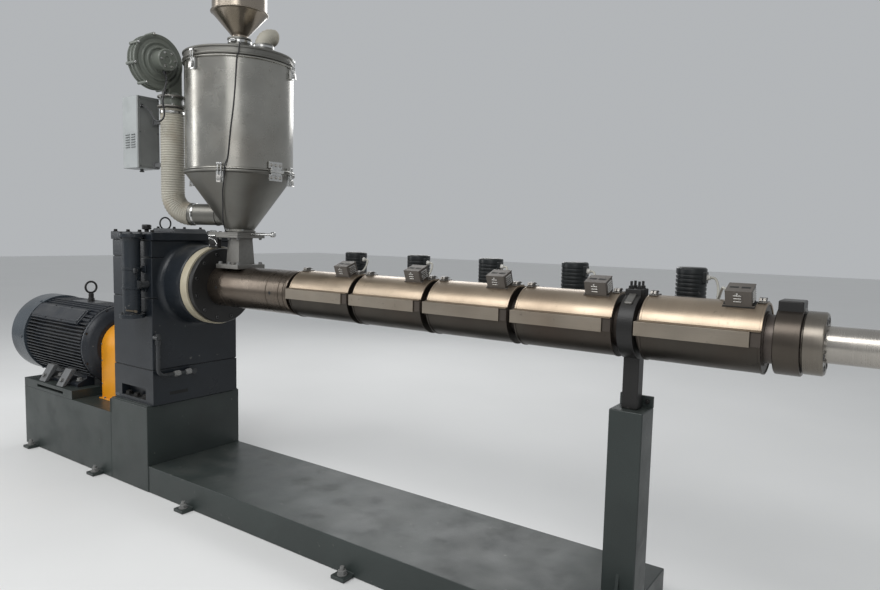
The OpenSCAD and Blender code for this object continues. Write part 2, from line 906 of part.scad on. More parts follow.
inlet_d = 108;
inlet_end = hose_reach - hose_bend_r;

module inlet_cylinder(d, x0, x1) {
    translate([0, 0, inlet_z]) rotate([0, 0, hose_turn]) rotate([0, 90, 0])
        translate([0, 0, x0]) cylinder(d = d, h = x1 - x0);
}

module dryer_cone() {
    foot_out = 14;
    foot_h = 10;
    outlet_r = cone_tip_r - 12;
    bead = 8;
    inlet_wall = 3;
    color("#8e8d88")
        difference() {
            union() {
                translate([0, 0, cone_z0]) cylinder(r1 = cone_tip_r, r2 = drum_r, h = cone_h);
                translate([0, 0, cone_z0]) cylinder(r = cone_tip_r + foot_out, h = foot_h);
                translate([0, 0, cone_z1]) cylinder(r = drum_r + rim_out, h = rim_t);
                inlet_cylinder(inlet_d, 0, inlet_end);
                inlet_cylinder(inlet_d + bead, inlet_end - 2 * bead, inlet_end);
            }
            translate([0, 0, cone_z0 - 1]) cylinder(r = outlet_r, h = 2 * foot_h);
            translate([0, 0, cone_z0 + foot_h])
                cylinder(r1 = cone_tip_r - cone_wall, r2 = drum_r - cone_wall, h = cone_h - foot_h + 1);
            translate([0, 0, cone_z1]) cylinder(r = drum_r - drum_wall, h = rim_t + 1);
            inlet_cylinder(inlet_d - 2 * inlet_wall, 0, inlet_end + 1);
        }
}

module dryer_drum() {
    color("#b9bab7")
        difference() {
            union() {
                translate([0, 0, seam_h]) cylinder(r = drum_r, h = drum_h);
                translate([0, 0, seam_h]) cylinder(r = drum_r + rim_out, h = rim_t);
                translate([0, 0, rim_h - rim_t]) cylinder(r = drum_r + rim_out, h = rim_t);
            }
            translate([0, 0, seam_h - 1]) cylinder(r = drum_r - drum_wall, h = drum_h + 2);
        }
}

elbow_d = 84;
elbow_x = 175;

module dryer_lid() {
    neck_d = 110;
    dome_edge = drum_r - 10;
    dome_tip = 70;
    socket_out = 16;
    color("#a9aaa6") {
        translate([0, 0, rim_h]) cylinder(r = drum_r + rim_out, h = lid_h);
        translate([0, 0, rim_h + lid_h]) cylinder(r1 = dome_edge, r2 = dome_tip, h = lid_dome);
        translate([0, 0, dome_top]) cylinder(d = neck_d, h = receiver_h - dome_top);
        translate([elbow_x, 0, rim_h + lid_h]) cylinder(d = elbow_d + socket_out, h = lid_dome);
    }
}

// A toggle clamp on the drum: base plate, body, hook bars over the joint and a folded lever
module toggle(turn, joint_z) {
    plate = [4, 34, 64];
    body = [16, 26, 24];
    bar = 7;
    bar_gap = 16;
    bar_h = 60;
    lever = [8, 20, 44];
    hook_h = 10;
    inset = 8;
    rotate([0, 0, turn]) translate([drum_r + rim_out, 0, joint_z]) {
        translate([-rim_out, -plate[1] / 2, -plate[2]]) cube([plate[0] + rim_out, plate[1], plate[2]]);
        translate([0, -body[1] / 2, inset - plate[2]]) cube(body);
        for (y = [-bar_gap / 2, bar_gap / 2])
            translate([plate[0] + bar / 2, y, -plate[2] / 2]) cylinder(d = bar, h = bar_h);
        translate([0, -body[1] / 2, bar_h - plate[2] / 2 - inset])
            cube([body[0] - plate[0], body[1], hook_h]);
        translate([body[0] - 2, -lever[1] / 2, -plate[2]]) cube(lever);
    }
}

// What the clamps sit against: the drum with its rings, and the lid's skirt
module clamp_seat() {
    ring_r = drum_r + rim_out + fit;
    translate([0, 0, seam_h]) cylinder(r = drum_r + fit, h = drum_h);
    translate([0, 0, cone_z1 - fit]) cylinder(r = ring_r, h = 2 * rim_t + 2 * fit);
    translate([0, 0, rim_h - rim_t - fit]) cylinder(r = ring_r, h = rim_t + lid_h + 2 * fit);
}

module drum_clamps() {
    seam_turns = [-58, 22, 118, 200];
    rim_turns = [-89, 28, 150];
    hinge_turn = -1;
    hinge = [10, 78, 92];
    pin_d = 16;
    color("#9b9b98")
        difference() {
            union() {
                for (a = seam_turns) toggle(a, seam_h);
                for (a = rim_turns) toggle(a, rim_h);
                rotate([0, 0, hinge_turn]) translate([drum_r, -hinge[1] / 2, seam_h]) {
                    translate([0, 0, -hinge[2] / 2]) cube([rim_out + hinge[0], hinge[1], hinge[2]]);
                    translate([rim_out + hinge[0], 0, 0]) rotate([-90, 0, 0])
                        cylinder(d = pin_d, h = hinge[1]);
                }
            }
            clamp_seat();
        }
}

// Route of the sensor lead: over the lid, down the drum, over the seam and down to the slide gate
lid_route = [
    [118, -92, 72], [165, -130, 61], [203, -159, 56], [219, -175, 44], [215, -177, 4], [207, -181, -16]
];
drum_route = [
    [197, -184, 380], [190, -190, 280], [181, -199, 180], [172, -207, 60], [168, -221, 20], [167, -223, -14]
];
cone_route = [
    [150, -214, 236], [112, -192, 200], [66, -156, 140], [36, -134, 90], [12, -114, 50], [2, -98, 22],
    [-4, -86, 2]
];

module drum_lead() {
    lead_d = 6;
    route = [
        for (p = lid_route) p + [0, 0, rim_h],
        for (p = drum_route) p + [0, 0, seam_h],
        for (p = cone_route) p + [0, 0, cone_z0]
    ];
    color("#1b1c1d") tube(route, lead_d, [1, 0, 0], 6);
}

module air_blower() {
    volute_w = 66;
    outlet_half = 39;
    duct_z = hose_top_z + 56;
    drum = [100, 76];
    shell_ring = [188, 8];
    inner_ring = [140, 14];
    joint_d = hose_d + 24;
    joint_t = 10;
    upper_joint = 50;
    neck_in = 3;
    neck_bite = 10;
    lugs = 5;
    lug_d = 16;
    lug_start = 12;
    lug_step = 45;
    lug_proud = 3;
    side = [0, 90, 0];
    x0 = hose_x - volute_w / 2;
    color("#68716b") {
        translate([x0, air_y, air_z]) rotate(side) cylinder(d = air_volute_d, h = volute_w);
        translate([x0, hose_y - outlet_half, duct_z])
            cube([volute_w, 2 * outlet_half, air_z - duct_z]);
        translate([hose_x, hose_y, hose_top_z]) 
            cylinder(d = hose_d - 2 * neck_in, h = duct_z - hose_top_z + neck_bite);
        for (z = [0, upper_joint])
            translate([hose_x, hose_y, hose_top_z + z]) cylinder(d = joint_d, h = joint_t);
        for (step = [shell_ring, inner_ring, drum])
            translate([hose_x, air_y, air_z]) rotate(side) cylinder(d = step[0], h = volute_w / 2 + step[1]);
        for (i = [0:lugs - 1])
            translate([x0 - lug_proud, air_y, air_z]) rotate([lug_start + i * lug_step, 0, 0])
                translate([0, 0, air_volute_d / 2]) rotate(side)
                    cylinder(d = lug_d, h = volute_w + 2 * lug_proud);
    }
}

// Route of the hose in the upright plane through the drum's axis: out of the inlet, round and up
function hose_route() = concat(
    [for (a = [0:15:90]) [hose_bend_r * sin(a), 0, hose_bend_r * (1 - cos(a))]],
    [[hose_bend_r, 0, hose_top_z - inlet_z]]
);

module air_hose() {
    color("#c9c3ad")
        translate([0, 0, inlet_z]) rotate([0, 0, hose_turn]) translate([inlet_end, 0, 0])
            tube(hose_route(), hose_d, [0, 1, 0], 12);
}

// Route of the blower's cable from its drum to the control box, from the blower's axis
cable_route = [
    [75, 0, -52], [78, 4, -70], [78, 8, -100], [78, -4, -150], [80, -14, -200], [80, -6, -246],
    [78, -10, -280], [62, -20, -296], [36, -22, -290], [-4, -16, -266], [-60, 2, -230],
    [-110, 10, -206], [-140, 12, -197], [-156.5, 12, -196]
];

module air_cable() {
    cable_d = 9;
    color("#151617") translate([hose_x, air_y, air_z]) tube(cable_route, cable_d, [1, 0.3, 0]);
}

module control_box() {
    box = [146, 124, 372];
    place = [hose_x - 303, hose_y - 95, seam_h + 26];
    arm_t = 20;
    arm_in = 34;
    arm_heights = [10, 230];
    ear = [40, 30, 5];
    gland = [20, 16];
    color("#7f868a")
        translate(place) {
            cube(box);
            for (z = arm_heights)
                translate([box[0], box[1] - arm_in, z])
                    cube([hose_x - hose_d / 2 - fit - place[0] - box[0], arm_t, arm_t]);
            translate([-ear[0] / 2, box[1] - ear[1], box[2]]) cube(ear);
            translate([box[0] / 2, box[1] / 2, -gland[1]]) cylinder(d = gland[0], h = gland[1]);
        }
}

module return_elbow() {
    bend_r = 70;
    neck = 30;
    color("#c6bfa6")
        translate([elbow_x, 0, dome_top]) {
            cylinder(d = elbow_d, h = neck);
            translate([0, bend_r, neck]) rotate([0, 0, -90]) rotate([90, 0, 0]) pipe_bend(elbow_d, bend_r);
        }
}

// Vacuum receiver

receiver_brim = 8;

module receiver_hopper() {
    wall = 3;
    foot = [76, 14];
    tip_d = 60;
    bore = 50;
    ring_h = 10;
    overlap = 0.1;
    color("#b3aca3")
        translate([0, 0, receiver_h])
            difference() {
                union() {
                    cylinder(d = foot[0], h = foot[1]);
                    cylinder(d1 = tip_d, d2 = receiver_d, h = receiver_cone_h);
                    translate([0, 0, receiver_cone_h]) cylinder(d = receiver_d, h = receiver_len);
                    for (z = [0, receiver_len - ring_h])
                        translate([0, 0, receiver_cone_h + z])
                            cylinder(d = receiver_d + 2 * receiver_brim, h = ring_h);
                }
                translate([0, 0, receiver_cone_h]) cylinder(d = receiver_d - 2 * wall, h = receiver_len + 1);
                translate([0, 0, foot[1]])
                    cylinder(d1 = tip_d - 2 * wall, d2 = receiver_d - 2 * wall,
                        h = receiver_cone_h - foot[1] + overlap);
                translate([0, 0, -1]) cylinder(d = bore, h = foot[1] + 6);
            }
}

module receiver_lid() {
    brim = 12;
    crown = 40;
    crown_d = 150;
    spigot = [45, 70];
    color("#a9a9a6")
        translate([0, 0, receiver_h + receiver_cone_h + receiver_len]) {
            cylinder(d = receiver_d + 2 * receiver_brim, h = brim);
            translate([0, 0, brim]) cylinder(d1 = receiver_d, d2 = crown_d, h = crown);
            translate([0, 0, brim + crown]) cylinder(d = spigot[0], h = spigot[1]);
        }
}

drive_base();
barrel_plinth();
floor_lugs();
motor_slide();
motor_frame();
fan_cowl();
terminal_cover();
coupling_guard();
gearbox_housing();
gearbox_cover();
lifting_eyes();
breather();
oil_cooler();
oil_pipes();
bearing_housing();
spacer_ring();
rear_flange();
feed_section();
feed_neck();
slide_gate();
barrel_tube();
zone_cover(0);  // zone_cover_1
zone_cover(1);  // zone_cover_2
zone_cover(2);  // zone_cover_3
zone_cover(3);  // zone_cover_4
zone_cover(4);  // zone_cover_5
joint_strips();
cover_latches();
terminal_boxes();
zone_blowers();
blower_motors();
fan_leads();
support_clamp();
support_post();
head_flange();
clamp_flange();
melt_pipe();
dryer_cone();
dryer_drum();
dryer_lid();
drum_clamps();
drum_lead();
air_blower();
air_hose();
air_cable();
control_box();
return_elbow();
receiver_hopper();
receiver_lid();
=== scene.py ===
import math
import bpy
import bmesh
from mathutils import Matrix, Vector


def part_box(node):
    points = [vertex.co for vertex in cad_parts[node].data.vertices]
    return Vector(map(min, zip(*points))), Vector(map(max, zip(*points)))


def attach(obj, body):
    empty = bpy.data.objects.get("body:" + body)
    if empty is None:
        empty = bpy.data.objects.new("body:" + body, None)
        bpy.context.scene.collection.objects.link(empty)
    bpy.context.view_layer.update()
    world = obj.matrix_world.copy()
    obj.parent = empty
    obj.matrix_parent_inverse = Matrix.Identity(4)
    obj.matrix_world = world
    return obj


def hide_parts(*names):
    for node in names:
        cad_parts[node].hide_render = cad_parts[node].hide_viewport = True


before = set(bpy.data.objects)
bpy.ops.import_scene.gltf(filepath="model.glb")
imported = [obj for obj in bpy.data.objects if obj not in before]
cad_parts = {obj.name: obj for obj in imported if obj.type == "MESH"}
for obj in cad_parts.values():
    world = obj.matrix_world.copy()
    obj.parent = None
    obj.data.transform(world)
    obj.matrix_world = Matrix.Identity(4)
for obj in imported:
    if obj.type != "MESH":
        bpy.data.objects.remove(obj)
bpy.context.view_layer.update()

# Studio: a plain pale floor under a pale sky, soft lamps, and the camera at the photograph's
# viewpoint, at eye height beside the die end and looking back along the machine.
scene = bpy.context.scene
scene.view_settings.view_transform = "Standard"
CAMERA_PLACE = (2.850, -2.254, 1.394)
CAMERA_TURN = math.radians(35.17)
CAMERA_DIP = math.radians(5.10)
CAMERA_ROLL = math.radians(1.31)
LENS_PX = 676.5
IMAGE_PX = 880
lens = bpy.data.cameras.new("camera")
lens.sensor_width = 36.0
lens.lens = lens.sensor_width * LENS_PX / IMAGE_PX
lens.clip_end = 100.0
camera = bpy.data.objects.new("camera", lens)
scene.collection.objects.link(camera)
turn = Matrix.Rotation(CAMERA_TURN, 4, "Z")
dip = Matrix.Rotation(math.pi / 2 - CAMERA_DIP, 4, "X")
roll = Matrix.Rotation(CAMERA_ROLL, 4, "Z")
camera.matrix_world = Matrix.Translation(CAMERA_PLACE) @ turn @ dip @ roll
scene.camera = camera


class Dye:
    """A value in a material's node tree. Arithmetic on it adds Math nodes."""

    def __init__(self, tree, socket=None):
        self.tree = tree
        self.socket = socket

    def node(self, kind, settings, sockets, out=0):
        """Add any node: its settings first, then the values or links of its sockets."""
        added = self.tree.nodes.new(kind)
        for name, value in settings.items():
            setattr(added, name, value)
        for name, value in sockets.items():
            if isinstance(value, Dye):
                self.tree.links.new(value.socket, added.inputs[name])
            else:
                added.inputs[name].default_value = value
        return Dye(self.tree, added.outputs[out])

    def math(self, operation, first, second):
        return self.node("ShaderNodeMath", {"operation": operation}, {0: first, 1: second})

    def __add__(self, other):
        return self.math("ADD", self, other)

    __radd__ = __add__

    def __mul__(self, other):
        return self.math("MULTIPLY", self, other)

    __rmul__ = __mul__

    def __sub__(self, other):
        return self.math("SUBTRACT", self, other)

    def __rsub__(self, other):
        return self.math("SUBTRACT", other, self)

    def span(self, low, high, to_low=0.0, to_high=1.0):
        """Stretch the values from low to high onto a new range, and hold them inside it."""
        ends = {"From Min": low, "From Max": high, "To Min": to_low, "To Max": to_high}
        return self.node("ShaderNodeMapRange", {"clamp": True}, {"Value": self, **ends})

    def cloud(self, scale, detail=4.0, stretch=(1.0, 1.0, 1.0)):
        """Soft noise from 0 to 1 over this place, with scale in waves per metre."""
        place = self.node("ShaderNodeMapping", {}, {"Vector": self, "Scale": stretch})
        return self.node("ShaderNodeTexNoise", {}, {"Vector": place, "Scale": scale, "Detail": detail})

    def tint(self, first, second):
        """Mix two colours, with this value as the share of the second."""
        return self.node("ShaderNodeMix", {"data_type": "RGBA"}, {0: self, 6: first, 7: second}, 2)


def new_finish(name):
    """Start a material: the material, its shader node and the object's own coordinates."""
    material = bpy.data.materials.new(name)
    material.use_nodes = True
    shader = material.node_tree.nodes["Principled BSDF"]
    place = Dye(material.node_tree).node("ShaderNodeTexCoord", {}, {}, "Object")
    return material, shader, place


def lay(shader, place, colour, rough, height, depth):
    """Give a shader its colour, its roughness and a bump of the given depth in metres."""
    links = place.tree.links
    links.new(colour.socket, shader.inputs["Base Color"])
    links.new(rough.socket, shader.inputs["Roughness"])
    bump = place.node("ShaderNodeBump", {}, {"Strength": 1.0, "Distance": depth, "Height": height})
    links.new(bump.socket, shader.inputs["Normal"])


FLOOR_SIZE = 60
bpy.ops.mesh.primitive_plane_add(size=FLOOR_SIZE, location=(0, 0, -0.0005))
floor = bpy.context.object
floor.name = "floor"
floor_finish, floor_shader, floor_place = new_finish("floor")
floor_tone = floor_place.cloud(0.8)
lay(floor_shader, floor_place, floor_tone.tint((0.70, 0.70, 0.69, 1), (0.78, 0.78, 0.77, 1)),
    floor_tone.span(0.3, 0.7, 0.5, 0.62), floor_place.cloud(40), 0.0004)
floor.data.materials.append(floor_finish)

world = bpy.data.worlds.new("sky")
scene.world = world
world.use_nodes = True
world.node_tree.nodes["Background"].inputs["Color"].default_value = (0.90, 0.93, 0.96, 1)
world.node_tree.nodes["Background"].inputs["Strength"].default_value = 0.5


def soft_lamp(name, place, aim, width, height, watts):
    """An area lamp that points at aim."""
    data = bpy.data.lights.new(name, "AREA")
    data.shape = "RECTANGLE"
    data.size = width
    data.size_y = height
    data.energy = watts
    lamp = bpy.data.objects.new(name, data)
    lamp.location = place
    lamp.rotation_euler = (Vector(aim) - Vector(place)).to_track_quat("-Z", "Y").to_euler()
    scene.collection.objects.link(lamp)


soft_lamp("overhead", (0.4, -3.6, 4.9), (0.4, 0.0, 1.1), 6.5, 2.4, 225)
soft_lamp("front", (4.2, -5.4, 3.2), (0.2, 0, 1.2), 3.0, 3.0, 40)
soft_lamp("window", (-4.8, -3.4, 2.8), (-0.6, 0, 1.3), 1.2, 3.4, 60)
soft_lamp("back", (-2.0, 4.6, 3.6), (0.0, 0, 1.4), 4.0, 2.0, 80)


# Base: a long low plinth under the barrel and a higher welded box under gearbox and motor, of
# plate with ground welds, in dusty grey-green enamel, bolted down through lugs at its foot.
def painted(name, colour, rough=0.34, dust=0.4, cast=0.0, chips=0.3):
    """Machine enamel: slow drifts of tone, grime, dust on what faces up, small chips, orange peel."""
    material, shader, place = new_finish(name)
    tone = place.cloud(2.6).span(0.3, 0.7)
    dark = [c * 0.82 for c in colour] + [1]
    pale = [c * 1.16 for c in colour] + [1]
    paint = tone.tint(dark, pale)
    grime = place.cloud(9, 8).span(0.52, 0.74) * 0.35
    paint = grime.tint(paint, [c * 0.45 + 0.012 for c in colour] + [1])
    chipped = place.cloud(34, 6).span(0.70, 0.73) * chips
    paint = chipped.tint(paint, (0.23, 0.22, 0.20, 1))
    normal = place.node("ShaderNodeNewGeometry", {}, {}, "Normal")
    upward = place.node("ShaderNodeSeparateXYZ", {}, {0: normal}, "Z").span(0.55, 0.98)
    dusty = upward * place.cloud(8, 8).span(0.35, 0.75) * dust * 0.55
    paint = dusty.tint(paint, (0.36, 0.34, 0.30, 1))
    sheen = place.cloud(6).span(0.3, 0.7, rough - 0.06, rough + 0.08) + grime * 0.25 + dusty * 0.5
    peel = place.cloud(260, 2) * (1.0 - cast) + place.cloud(75, 5) * cast * 2.2 - chipped * 0.6
    shader.inputs["Specular IOR Level"].default_value = 0.36
    lay(shader, place, paint, sheen, peel, 0.0004)
    return material


def join(bm, part, place=Matrix()):
    """Add a finished part to a piece, set at its place."""
    bmesh.ops.recalc_face_normals(part, faces=part.faces)
    bmesh.ops.transform(part, matrix=place, verts=part.verts)
    copy = bpy.data.meshes.new("part")
    part.to_mesh(copy)
    part.free()
    bm.from_mesh(copy)
    bpy.data.meshes.remove(copy)


def ease(part, soft, steps=2):
    """Round the sharp edges of a part."""
    if soft:
        sharp = [e for e in part.edges if len(e.link_faces) == 2 and e.calc_face_angle() > math.radians(28)]
        bmesh.ops.bevel(part, geom=sharp, offset=soft, segments=steps, profile=0.5, affect="EDGES",
                        clamp_overlap=True, material=-1)


def block(bm, low, high, soft=0.002, place=Matrix()):
    """A block between two corners, with its edges eased."""
    part = bmesh.new()
    size = [h - l for l, h in zip(low, high)]
    middle = [(h + l) / 2 for l, h in zip(low, high)]
    bmesh.ops.create_cube(part, size=1.0, matrix=Matrix.Translation(middle) @ Matrix.Diagonal((*size, 1.0)))
    ease(part, soft)
    join(bm, part, place)


def rod(bm, start, end, radius, end_radius=None, sides=32, soft=0.001):
    """A round bar or a cone from one point to another."""
    way = Vector(end) - Vector(start)
    part = bmesh.new()
    bmesh.ops.create_cone(part, cap_ends=True, segments=sides, radius1=radius, depth=way.length,
                          radius2=radius if end_radius is None else end_radius)
    ease(part, soft)
    middle = (Vector(start) + Vector(end)) / 2
    join(bm, part, Matrix.Translation(middle) @ way.to_track_quat("Z", "Y").to_matrix().to_4x4())


def hex_bolt(bm, foot, way, across):
    """A hexagon bolt head on its washer, standing on a face."""
    foot = Vector(foot)
    way = Vector(way).normalized()
    rod(bm, foot, foot + way * across * 0.12, across * 0.72, sides=20, soft=0)
    rod(bm, foot + way * across * 0.1, foot + way * across * 0.62, across * 0.577, sides=6, soft=0)
    rod(bm, foot + way * across * 0.6, foot + way * across * 0.7, across * 0.54, across * 0.42, sides=18,
        soft=0)


def made(name, bm, material, slot, *nodes):
    """Turn a bmesh into a piece that rides on the machine and stands for the named CAD nodes."""
    for edge in bm.edges:
        edge.smooth = len(edge.link_faces) == 2 and edge.calc_face_angle() < math.radians(47)
    for face in bm.faces:
        face.smooth = True
    mesh = bpy.data.meshes.new(name)
    bm.to_mesh(mesh)
    bm.free()
    mesh.materials.append(material)
    piece = bpy.data.objects.new(name, mesh)
    scene.collection.objects.link(piece)
    even = piece.modifiers.new("even shading", "WEIGHTED_NORMAL")
    even.keep_sharp = True
    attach(piece, "root")
    if nodes:
        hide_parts(*nodes)


base_enamel = painted("base enamel", (0.028, 0.035, 0.033), rough=0.36, dust=0.08)
zinc_bolts = painted("zinc plated bolts", (0.17, 0.17, 0.165), rough=0.30, dust=0.2, chips=0.0)
base_low, base_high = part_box("drive_base")
plinth_low, plinth_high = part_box("barrel_plinth")
slide_low, slide_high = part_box("motor_slide")
GEAR_X0 = -0.745
GEAR_BASE_X1 = -0.392
WELD = 0.004

bm = bmesh.new()
block(bm, base_low, (GEAR_X0, base_high.y, slide_low.z), 0.004)
block(bm, (GEAR_X0 - 0.001, base_low.y, 0), (GEAR_BASE_X1, base_high.y, base_high.z - 0.006), 0.004)
block(bm, (GEAR_X0 + 0.006, base_low.y + 0.006, base_high.z - 0.012),
      (GEAR_BASE_X1 - 0.006, base_high.y - 0.006, base_high.z), 0.001)
for side in (base_low.y, base_high.y):
    rod(bm, (GEAR_X0, side, slide_low.z), (GEAR_X0, side, base_high.z - 0.01), WELD, sides=10)
rod(bm, (GEAR_X0, base_low.y, slide_low.z + 0.001), (GEAR_X0, base_high.y, slide_low.z + 0.001), WELD,
    sides=10)
made("drive_base_box", bm, base_enamel, "base_paint", "drive_base")

bm = bmesh.new()
block(bm, plinth_low, plinth_high, 0.004)
for side in (plinth_low.y, plinth_high.y):
    rod(bm, (GEAR_BASE_X1 + 0.001, side, 0.004), (GEAR_BASE_X1 + 0.001, side, plinth_high.z), WELD, sides=10)
made("barrel_plinth_box", bm, base_enamel, "base_paint", "barrel_plinth")

LUG_LENGTH = 0.072
LUG_OUT = 0.062
LUG_THICK = 0.016
lug_places = (-1.640, -0.872, -0.040, 1.035, 1.9005)
lugs = bmesh.new()
anchors = bmesh.new()
for x in lug_places:
    edge = base_high.y if x < GEAR_BASE_X1 else plinth_high.y
    for side in (-1, 1):
        inner, outer = sorted((side * edge, side * (edge + LUG_OUT)))
        block(lugs, (x - LUG_LENGTH / 2, inner, 0), (x + LUG_LENGTH / 2, outer, LUG_THICK), 0.003)
        rod(lugs, (x - LUG_LENGTH / 2, side * edge, LUG_THICK),
            (x + LUG_LENGTH / 2, side * edge, LUG_THICK), WELD, sides=10)
        hex_bolt(anchors, (x, side * (edge + LUG_OUT / 2), LUG_THICK), (0, 0, 1), 0.030)
        rod(anchors, (x, side * (edge + LUG_OUT / 2), LUG_THICK),
            (x, side * (edge + LUG_OUT / 2), LUG_THICK + 0.034), 0.009, sides=14)
made("floor_lug_plates", lugs, base_enamel, "base_paint", "floor_lugs")
made("anchor_bolts", anchors, zinc_bolts, "fitting_chrome")


# Motor slide: a thick steel plate on the base, slotted along both sides for the clamps that let
# the motor be drawn along, in the same enamel as the base.
SLOT_X0 = base_low.x + 0.172
SLOT_X1 = SLOT_X0 + 0.322
SLOT_DEPTH = 0.030
SLOT_Z0 = slide_low.z + 0.017
SLOT_Z1 = SLOT_Z0 + 0.015
bm = bmesh.new()
block(bm, (slide_low.x, slide_low.y + SLOT_DEPTH, slide_low.z),
      (slide_high.x, slide_high.y - SLOT_DEPTH, slide_high.z), 0.002)
for inner, outer in ((slide_low.y + SLOT_DEPTH + 0.001, slide_low.y),
                     (slide_high.y - SLOT_DEPTH - 0.001, slide_high.y)):
    near, far = sorted((inner, outer))
    for x0, x1, z0, z1 in ((slide_low.x, slide_high.x, slide_low.z, SLOT_Z0),
                           (slide_low.x, slide_high.x, SLOT_Z1, slide_high.z),
                           (slide_low.x, SLOT_X0, SLOT_Z0 - 0.002, SLOT_Z1 + 0.002),
                           (SLOT_X1, slide_high.x, SLOT_Z0 - 0.002, SLOT_Z1 + 0.002)):
        block(bm, (x0, near, z0), (x1, far, z1), 0.0015)
made("motor_slide_plate", bm, base_enamel, "base_paint", "motor_slide")


# Motor: a cast iron body with rows of thin cooling fins, a dished and ribbed shield at its shaft
# end, cast feet held down by sloping straps, a pressed fan cowl and a lid over the terminals.
motor_enamel = painted("motor enamel", (0.014, 0.017, 0.022), rough=0.34, dust=0.40, cast=0.6)
cowl_enamel = painted("fan cowl enamel", (0.042, 0.052, 0.062), rough=0.28, dust=0.35)
strap_enamel = painted("motor strap enamel", (0.125, 0.128, 0.130), rough=0.40, dust=0.3)
FULL = math.tau
SHAFT_H = 0.672
MOTOR_X1 = -1.160
BODY_X0 = -1.854
BODY_LENGTH = MOTOR_X1 - BODY_X0
MOTOR_X0 = -2.044
FIN_OUT = 0.244
FIN_ROUND = 0.248
FIN_PITCH = 0.020
FIN_THICK = 0.006
FIN_ROWS = 9
CORE_R = 0.215
CORE_END_R = 0.196
CORE_INSET = 0.058
FLAT_HALF = 0.060
FLAT_UP = 0.243
PAD_X0 = -1.62
PAD_X1 = -1.36


def turned(bm, profile, place=Matrix(), sides=64):
    """A lathe part: pairs of radius and height, spun round the Z axis."""
    part = bmesh.new()
    path = [part.verts.new((radius, 0, height)) for radius, height in profile]
    line = [part.edges.new(pair) for pair in zip(path, path[1:])]
    bmesh.ops.spin(part, geom=path + line, axis=(0, 0, 1), cent=(0, 0, 0), angle=FULL, steps=sides,
                   use_merge=True)
    bmesh.ops.remove_doubles(part, verts=part.verts, dist=0.00002)
    join(bm, part, place)


def along_x(x, y, z):
    """Put a part's Z axis along the screw line, from a point."""
    return Matrix.Translation((x, y, z)) @ Matrix.Rotation(math.pi / 2, 4, "Y")


def extruded(bm, outline, depth, place=Matrix(), soft=0.001):
    """A flat outline in X and Y, drawn out along Z, with its edges eased."""
    part = bmesh.new()
    face = part.faces.new([part.verts.new((x, y, 0)) for x, y in outline])
    grown = bmesh.ops.extrude_face_region(part, geom=[face])
    top = [v for v in grown["geom"] if isinstance(v, bmesh.types.BMVert)]
    bmesh.ops.translate(part, verts=top, vec=(0, 0, depth))
    bmesh.ops.recalc_face_normals(part, faces=part.faces)
    ease(part, soft)
    join(bm, part, place)


def end_view(x):
    """Read an outline as Y and Z at this X, drawn out along the screw line."""
    return Matrix(((0, 0, 1, x), (1, 0, 0, 0), (0, 1, 0, 0), (0, 0, 0, 1)))


def bend(whole, steps):
    """The angles of a bend, in even steps from nothing to the whole turn."""
    return [whole * i / steps for i in range(steps + 1)]


def around(count, radius):
    """Evenly spaced places round a circle, the first of them half a step along."""
    turns = [(i + 0.5) * FULL / count for i in range(count)]
    return [(radius * math.cos(turn), radius * math.sin(turn)) for turn in turns]


frame_parts = bmesh.new()
turned(frame_parts, [(0, 0), (CORE_END_R, 0), (CORE_END_R, CORE_INSET - 0.006), (CORE_R, CORE_INSET + 0.006),
                     (CORE_R, BODY_LENGTH - CORE_INSET - 0.006),
                     (CORE_END_R, BODY_LENGTH - CORE_INSET + 0.006), (CORE_END_R, BODY_LENGTH),
                     (0, BODY_LENGTH)], along_x(BODY_X0, 0, SHAFT_H))
for row in range(-FIN_ROWS, FIN_ROWS + 1):
    offset = row * FIN_PITCH
    tip = min(FIN_OUT, math.sqrt(FIN_ROUND ** 2 - offset ** 2))
    root = math.sqrt(max(CORE_END_R ** 2 - offset ** 2, 0)) - 0.01
    for side in (-1, 1):
        near, far = sorted((side * root, side * tip))
        block(frame_parts, (BODY_X0, near, SHAFT_H + offset - FIN_THICK / 2),
              (MOTOR_X1, far, SHAFT_H + offset + FIN_THICK / 2), 0.0022)
    top = tip if abs(offset) > FLAT_HALF else FLAT_UP
    block(frame_parts, (BODY_X0, offset - FIN_THICK / 2, SHAFT_H + root),
          (MOTOR_X1, offset + FIN_THICK / 2, SHAFT_H + top), 0.0022)
block(frame_parts, (PAD_X0, -FLAT_HALF, SHAFT_H + 0.18), (PAD_X1, FLAT_HALF, SHAFT_H + FLAT_UP), 0.004)

RIM_R = 0.242
SHIELD = 0.0595
turned(frame_parts, [(0, -0.002), (RIM_R - 0.002, -0.002), (RIM_R, 0), (RIM_R, 0.013), (RIM_R - 0.003, 0.016),
                     (RIM_R - 0.012, 0.020), (RIM_R - 0.017, 0.030), (0.205, 0.040), (0.176, 0.055),
                     (0.168, SHIELD), (0.120, SHIELD), (0.114, 0.052), (0.060, 0.050), (0.054, SHIELD),
                     (0, SHIELD)],
       along_x(MOTOR_X1, 0, SHAFT_H))
for spoke in range(8):
    place = Matrix.Translation((MOTOR_X1, 0, SHAFT_H)) @ Matrix.Rotation(spoke * FULL / 8, 4, "X")
    block(frame_parts, (0.016, -0.007, 0.115), (0.058, 0.007, 0.172), 0.003, place)

